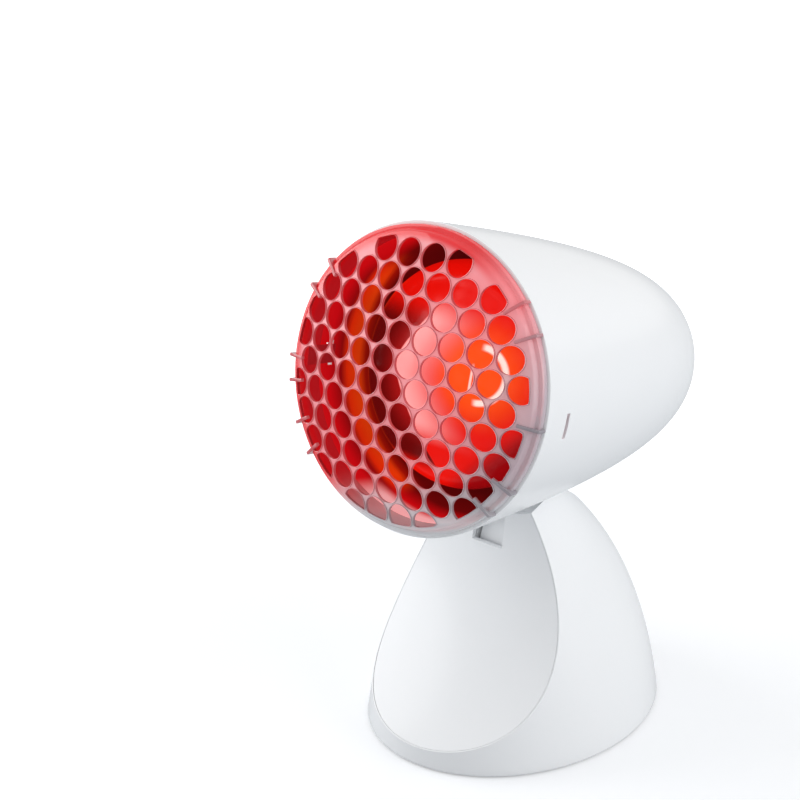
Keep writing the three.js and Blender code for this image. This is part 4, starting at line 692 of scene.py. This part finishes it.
def buildArm():
    arm = {"drum": 23.6, "width": 13.6, "neck": 24, "detents": 5, "detentStep": 10, "detentAngle": 200,
           "notchRadius": 1.6, "notchDepth": 1, "edge": 0.5, "screwFrom": 12, "weld": 0.04}
    place = Matrix.Translation(hinge) @ Matrix.Rotation(-math.radians(head["tilt"]), 4, "X")
    half = arm["width"] / 2
    body = combine(rod(arm["drum"], -half, half, "X", sides=128), "UNION",
                   block((-half, -arm["neck"] / 2, 0), (half, arm["neck"] / 2, head["axisAboveHinge"] / 2)))
    notches = []
    reach = arm["drum"] + arm["notchRadius"] - arm["notchDepth"]
    for i in range(arm["detents"]):
        angle = math.radians(arm["detentAngle"] + head["tilt"] - head["tiltDown"] + arm["detentStep"] * i)
        notches.append(rod(arm["notchRadius"], -half - 1, half + 1, "X",
                           reach * math.cos(angle), reach * math.sin(angle), 24))
    under = headSolid(-fit["gap"], head["tilt"])
    bmesh.ops.transform(under, matrix=place.inverted(), verts=under.verts)
    bores = [rod(radius, -0.5 * head["axisAboveHinge"] if y > 0 else arm["screwFrom"],
                 head["axisAboveHinge"], "Z", x, y, 32) for x, y, radius in armHoles]
    body = combine(body, "DIFFERENCE", under)
    roundEdges(body, arm["edge"], 2, 50)
    body = combine(body, "DIFFERENCE", rod(bore["pin"], -half - 1, half + 1, "X"), *bores, *notches)
    bmesh.ops.remove_doubles(body, verts=body.verts, dist=arm["weld"] * mm)
    bmesh.ops.transform(body, matrix=place, verts=body.verts)
    addPiece("head_arm", body, "white", "tilt_arm")
    print("tilt arm built")


buildArm()


# Guard

def buildGuard():
    guard = {  # mm; heights stand out in front of the mouth
        "rise": 17, "drop": 13, "thickness": 1.3, "pitch": 12.26, "hole": 5.62, "field": 58.8, "rows": 6,
        "across": -0.44, "upward": -1.97, "turn": 1.3, "least": 0.5,
        "web": 6.04, "crest": 5.84, "lift": 0.5, "join": 59.5, "sides": 144, "holeSides": 36,
        "rim": 62.6, "ledge": 60.6, "rimThickness": 3, "step": 2, "skirtDepth": 8, "skirtWall": 1.6,
    }
    height = lambda radius: guard["rise"] - guard["drop"] * (radius / head["mouthRadius"]) ** 2
    facing = headPlace @ Matrix.Rotation(math.pi / 2, 4, "X")  # z then points out of the mouth

    # flat sheet first: the outer circle and the holes, whose loops are kept
    bm = bmesh.new()
    bmesh.ops.create_circle(bm, segments=guard["sides"], radius=guard["join"] * mm)
    loops = []
    lattice = Matrix.Translation((guard["across"], guard["upward"], 0)) \
        @ Matrix.Rotation(math.radians(guard["turn"]), 4, "Z")
    for row in range(-guard["rows"], guard["rows"] + 1):
        for column in range(-guard["rows"], guard["rows"] + 1):
            x, y, _ = lattice @ Vector((guard["pitch"] * (column + row % 2 / 2),
                                        guard["pitch"] * row * math.sqrt(3 / 4), 0))
            if math.hypot(x, y) > guard["field"] - guard["least"]:
                continue
            verts = bmesh.ops.create_circle(
                bm, segments=guard["holeSides"], radius=guard["web"] * mm,
                matrix=Matrix.Translation((x * mm, y * mm, 0)))["verts"]
            centre = Vector((x, y, 0)) * mm
            for vert in verts:  # holes at the edge are cut by the rim
                reach = vert.co - centre
                over = centre.dot(reach)
                room = (guard["field"] * mm) ** 2 - centre.length_squared
                share = (math.sqrt(over ** 2 + reach.length_squared * room) - over) / reach.length_squared
                vert.co = centre + reach * min(1, share)
            edges = list({edge for vert in verts for edge in vert.link_edges})
            loops.append(edges)
    bmesh.ops.triangle_fill(bm, edges=list(bm.edges), use_beauty=True, normal=(0, 0, 1))
    copied = bmesh.ops.duplicate(bm, geom=list(bm.verts) + list(bm.edges) + list(bm.faces))
    backOf = copied["edge_map"]
    backFaces = [part for part in copied["geom"] if isinstance(part, bmesh.types.BMFace)]
    backVerts = [part for part in copied["geom"] if isinstance(part, bmesh.types.BMVert)]
    bmesh.ops.reverse_faces(bm, faces=backFaces)
    bmesh.ops.translate(bm, vec=(0, 0, -guard["thickness"] * mm), verts=backVerts)

    # each hole's wall: over a raised ring, down its bore and out to the back
    for edges in loops:
        back = [backOf[edge] for edge in edges]
        verts = {vert for edge in edges for vert in edge.verts}
        centre = sum((vert.co for vert in verts), Vector()) / len(verts)
        space = Matrix.Translation(-centre)
        radius = guard["web"]
        lifts = [(guard["crest"] + 0.12, guard["lift"] * 0.7), (guard["crest"], guard["lift"]),
                 (guard["hole"] + 0.06, guard["lift"] * 0.8), (guard["hole"], guard["lift"] * 0.2),
                 (guard["hole"], -guard["thickness"] * 0.75)]
        z = 0
        for nextRadius, nextZ in lifts:
            made = bmesh.ops.extrude_edge_only(bm, edges=edges)["geom"]
            verts = [part for part in made if isinstance(part, bmesh.types.BMVert)]
            edges = [part for part in made if isinstance(part, bmesh.types.BMEdge)
                     and all(vert in verts for vert in part.verts)]
            share = nextRadius / radius
            bmesh.ops.scale(bm, vec=(share, share, 1), space=space, verts=verts)
            bmesh.ops.translate(bm, vec=(0, 0, (nextZ - z) * mm), verts=verts)
            radius, z = nextRadius, nextZ
        bmesh.ops.bridge_loops(bm, edges=edges + back)
    for vert in bm.verts:  # bend the sheet onto the dome
        vert.co.z += height(vert.co.xy.length / mm) * mm

    face = guard["rimThickness"] + fit["gap"]
    skirt = lambda depth: headRadius(depth, head["wall"]) - fit["gap"]
    profile = [  # section of the rim: over its front, down the skirt and back to the sheet
        (guard["join"], height(guard["join"])), (guard["ledge"] - 0.9, face + guard["step"] + 0.3),
        (guard["ledge"] - 0.5, face + guard["step"] - 0.2), (guard["ledge"] - 0.2, face + 0.5),
        (guard["ledge"] + 0.2, face), (guard["rim"] - 0.6, face), (guard["rim"] - 0.15, face - 0.2),
        (guard["rim"], face - 0.7), (guard["rim"], fit["gap"]), (skirt(0), fit["gap"]),
        (skirt(guard["skirtDepth"]), -guard["skirtDepth"]),
        (skirt(guard["skirtDepth"]) - guard["skirtWall"], -guard["skirtDepth"]),
        (skirt(0) - guard["skirtWall"], fit["gap"]),
        (guard["join"], height(guard["join"]) - guard["thickness"]),
    ]
    rim = spun([(radius, -z) for radius, z in profile], guard["sides"],
               Matrix.Rotation(-math.pi / 2, 4, "X"))
    rimMesh = bpy.data.meshes.new("rim")
    rim.to_mesh(rimMesh)
    rim.free()
    bm.from_mesh(rimMesh)
    bpy.data.meshes.remove(rimMesh)
    bmesh.ops.remove_doubles(bm, verts=bm.verts, dist=0.02 * mm)
    bmesh.ops.recalc_face_normals(bm, faces=bm.faces)
    bmesh.ops.transform(bm, matrix=facing, verts=bm.verts)

    rib = {"width": 1.4, "overhang": 1.6, "rise": 1.4, "pair": 12.5, "places": (54, 126, 234, 301),
           "reach": 9.6, "thickness": 1.5, "slope": 19, "extra": 9.6}
    latch = {"turn": 94, "width": 8, "start": 15.6, "height": 1.8, "reach": 1.1}
    angles = [place + s * rib["pair"] / 2 for place in rib["places"] for s in (-1, 1)]
    bars, latches = [], []
    angles += [latch["turn"], -latch["turn"], -latch["turn"] - rib["extra"]]
    for angle in angles:  # over the rim and down its side
        turn = headPlace @ Matrix.Rotation(math.radians(angle), 4, "Y")
        half, tip = rib["width"] / 2, guard["rim"] + rib["overhang"]
        lean = turn @ Matrix.Translation((0, (-face - rib["rise"]) * mm, tip * mm)) \
            @ Matrix.Rotation(-math.radians(rib["slope"]), 4, "X")
        side = block((-half, -face - rib["rise"], guard["rim"] - 1.2), (half, -fit["gap"], tip), turn, 0.3, 2)
        top = block((-half, -0.2, -rib["reach"]), (half, rib["thickness"], 0), lean, 0.3, 2)
        bars.append(combine(side, "UNION", top))
    wall = headRadius(latch["start"], head["wall"])
    for s in (-1, 1):
        turn = headPlace @ Matrix.Rotation(s * math.radians(latch["turn"]), 4, "Y")
        inner = wall - fit["gap"] - guard["skirtWall"]
        tongue = block((-latch["width"] / 2, 0, inner),
                       (latch["width"] / 2, latch["start"] + latch["height"], wall - 2 * fit["gap"]), turn)
        hook = block((-latch["width"] / 2, latch["start"], inner + 0.1),
                     (latch["width"] / 2, latch["start"] + latch["height"], wall + latch["reach"]), turn)
        latches += [tongue, hook]
    bm = combine(bm, "UNION", *latches)
    clear = addPiece("guard_clear", bm, "clear", "clear_guard", smoothDegrees=40)
    clear.data.materials.append(finishes["clearEdge"])
    outward = headPlace.to_3x3() @ Vector((0, -1, 0))
    back = headPlace.inverted()
    for face in clear.data.polygons:  # walls of the holes, which take the darker crimson of painted shade
        place = back @ face.center / mm
        face.material_index = int(abs(face.normal.dot(outward)) < 0.5
                                  and math.hypot(place.x, place.z) < guard["field"] + 0.1)
    # the ribs take the darker clear finish, a painted shade
    ribs = addPiece("guard_ribs", combine(bars[0], "UNION", *bars[1:]), "clearRib",
                    body=bodyOf["clear_guard"])
    print("guard built, with", len(loops), "holes")


buildGuard()


# Bulb

def glassOutline(inset, steps=14):
    bulb = {"radius": 47.5, "faceStart": 12, "sag": 9, "shoulder": 8, "widest": 31, "bowl": 70,
            "neckRadius": 15, "neckLength": 19, "swell": 1.15, "collarRadius": 11.8, "collarLength": 6.25}
    face = bulb["radius"] - bulb["shoulder"] - inset / 2
    faceEnd = bulb["faceStart"] + bulb["sag"]
    points = []
    for i in range(steps + 1):
        share = i / steps
        points.append((face * share, bulb["faceStart"] + inset + (bulb["sag"] - inset / 2) * share ** 2))
    for i in range(1, steps + 1):
        angle = math.pi / 2 * i / steps
        points.append((face + (bulb["radius"] - inset - face) * math.sin(angle),
                       bulb["widest"] - (bulb["widest"] - faceEnd) * math.cos(angle)))
    for i in range(1, 2 * steps + 1):
        share = i / (2 * steps)
        swell = (1 + math.cos(math.pi * share ** bulb["swell"])) / 2
        points.append((bulb["neckRadius"] - inset + (bulb["radius"] - bulb["neckRadius"]) * swell,
                       bulb["widest"] + bulb["bowl"] * share))
    capStart = bulb["widest"] + bulb["bowl"] + bulb["neckLength"] + fit["gap"]
    points.append((bulb["neckRadius"] - inset, capStart - bulb["neckLength"] / 4))
    collar = bulb["collarRadius"] - inset
    points += [(collar, capStart - fit["gap"]), (collar, capStart + bulb["collarLength"])]
    return points


def buildBulb():
    outline = glassOutline(0) + list(reversed(glassOutline(1)))
    addPiece("bulb_ruby", spun(outline, 112, headPlace), "ruby", "bulb_glass", smoothDegrees=50)
    print("bulb built")


buildBulb()


# Small parts: copies of the CAD solids with their edges rounded, in mm

def dressSmallParts():
    rounding = {
        "switch_housing": 0.5, "switch_rocker": 0.5, "cord_gland": 0.4, "gland_nut": 0.3, "base_plate": 0.3,
        "rubber_foot": 0.6, "base_screw": 0.25, "hinge_nut": 0.3, "hinge_pin": 0.3, "friction_washer": 0.15,
        "detent_screw": 0.2, "terminal_block": 0.4, "terminal_screw": 0.2, "arm_screw": 0.2,
        "holder_screw": 0.2, "holder_plate": 0.2, "lamp_holder": 0.5, "holder_ring": 0.3, "tip_contact": 0.2,
    }
    count = 0
    for node, part in frame["nodes"].items():
        width = next((size for name, size in rounding.items() if node.startswith(name)), None)
        if not width:
            continue
        bm = bmesh.new()
        bm.from_mesh(part.data)
        bmesh.ops.remove_doubles(bm, verts=bm.verts, dist=fit["weld"] * mm)
        bmesh.ops.dissolve_limit(bm, angle_limit=math.radians(0.5), verts=bm.verts, edges=bm.edges)
        bmesh.ops.recalc_face_normals(bm, faces=bm.faces)
        roundEdges(bm, width, 2, 35)
        addPiece(node + "_rounded", bm, slotFinish[slotOf[node]], node)
        count += 1
    print("small parts rounded:", count)


dressSmallParts()


# Floor, light and camera

def buildFloor():
    # the floor glows white for the camera, weaker near the stand so that the real shadow shows, which also paints
    # the floor there a little greyer, a painted shade
    floor = {"half": 4.0, "near": 0.14, "far": 0.6, "color": "dfe1e4", "bounce": "c6cace",
             "glow": 0.31, "glowBeyond": 0.56}
    bm = bmesh.new()
    bmesh.ops.create_grid(bm, x_segments=1, y_segments=1, size=floor["half"])
    mesh = bpy.data.meshes.new("floor")
    bm.to_mesh(mesh)
    bm.free()
    ground = bpy.data.objects.new("floor", mesh)
    scene.collection.objects.link(ground)
    paint = Finish("white floor")
    seen = paint.node("ShaderNodeLightPath", output="Is Camera Ray")
    far = paint.node("ShaderNodeVectorMath", {"operation": "LENGTH"}, {0: paint.position}, output="Value")
    beyond = paint.smooth(far, floor["near"], floor["far"])
    paint.give({
        "Base Color": paint.mix(seen, rgb(floor["bounce"]), rgb(floor["color"])),
        "Roughness": 0.9, "Specular IOR Level": 0.0,
        "Emission Color": (1, 1, 1, 1),
        # less glow near the stand: a painted shade round it
        "Emission Strength": seen * (floor["glow"] + floor["glowBeyond"] * beyond),
    })
    mesh.materials.append(paint.material)


def buildLight():
    world = bpy.data.worlds.new("studio")
    scene.world = world
    world.use_nodes = True
    graph = Graph(world.node_tree)
    background = world.node_tree.nodes["Background"]
    ray = lambda name: graph.node("ShaderNodeLightPath", output=name)
    # the studio's dark side, seen from the lamp, and how much darker it is there and overhead
    dim = {"azimuth": 36, "elevation": -4, "from": 0.25, "to": 0.98, "plain": 0.92, "depth": 0.38,
           "overhead": 0.34, "overheadFrom": 0.35, "glossy": 0.8}
    seen = graph.math("MAXIMUM", ray("Is Camera Ray"),
                      graph.math("MAXIMUM", dim["glossy"] * ray("Is Glossy Ray"), ray("Is Transmission Ray")))
    azimuth, elevation = math.radians(dim["azimuth"]), math.radians(dim["elevation"])
    darkest = (math.sin(azimuth) * math.cos(elevation), -math.cos(azimuth) * math.cos(elevation),
               math.sin(elevation))
    facing = graph.node("ShaderNodeVectorMath", {"operation": "DOT_PRODUCT"}, {
        0: graph.node("ShaderNodeTexCoord"), 1: darkest}, output="Value")
    apart = graph.tree.nodes.new("ShaderNodeSeparateXYZ")
    graph.feed(apart.inputs[0], graph.node("ShaderNodeTexCoord"))
    overhead = graph.smooth(Link(graph, apart.outputs[2]), dim["overheadFrom"], 1.0)
    studio = dim["plain"] - dim["depth"] * graph.smooth(facing, dim["from"], dim["to"]) \
        - dim["overhead"] * overhead
    background.inputs["Color"].default_value = (1, 1, 1, 1)
    graph.feed(background.inputs["Strength"], graph.math("MAXIMUM", studio, seen))
    lamps = {  # place and aim in metres, size in metres, power in watts
        "left box": {"place": (-1.2, -0.5, 0.62), "size": 1.4, "power": 9.5},
        "right box": {"place": (1.2, 0.3, 0.45), "size": 1.4, "power": 7.3},
        "top box": {"place": (-0.1, 0.0, 1.5), "size": 1.1, "power": 0.4},
    }
    aim = Vector((0, 0, 0.12))
    for name, lamp in lamps.items():
        light = bpy.data.lights.new(name, "AREA")
        light.shape = "DISK"
        light.size = lamp["size"]
        light.energy = lamp["power"]
        holder = bpy.data.objects.new(name, light)
        place = Vector(lamp["place"])
        holder.location = place
        holder.rotation_euler = (aim - place).to_track_quat("-Z", "Y").to_euler()
        scene.collection.objects.link(holder)
    print("lamps placed:", len(lamps))


def buildCamera():
    view = {"azimuth": 39.41, "elevation": 23.0, "distance": 0.957, "lens": 99, "across": -0.05162,
            "upward": 0.03321, "aimHeight": 0.110}
    azimuth, elevation = math.radians(view["azimuth"]), math.radians(view["elevation"])
    right = Vector((math.cos(azimuth), math.sin(azimuth), 0))
    toward = Vector((math.sin(azimuth) * math.cos(elevation), -math.cos(azimuth) * math.cos(elevation),
                     math.sin(elevation)))
    up = toward.cross(right)
    aim = right * view["across"] + up * view["upward"] + Vector((0, 0, view["aimHeight"]))
    lens = bpy.data.cameras.new("camera")
    lens.lens = view["lens"]
    lens.clip_end = 50
    camera = bpy.data.objects.new("camera", lens)
    camera.matrix_world = Matrix.Translation(aim + toward * view["distance"]) \
        @ Matrix((right, up, toward)).transposed().to_4x4()
    scene.collection.objects.link(camera)
    scene.camera = camera


buildFloor()
buildLight()
buildCamera()
scene.view_settings.view_transform = "Standard"

print("scene ready")
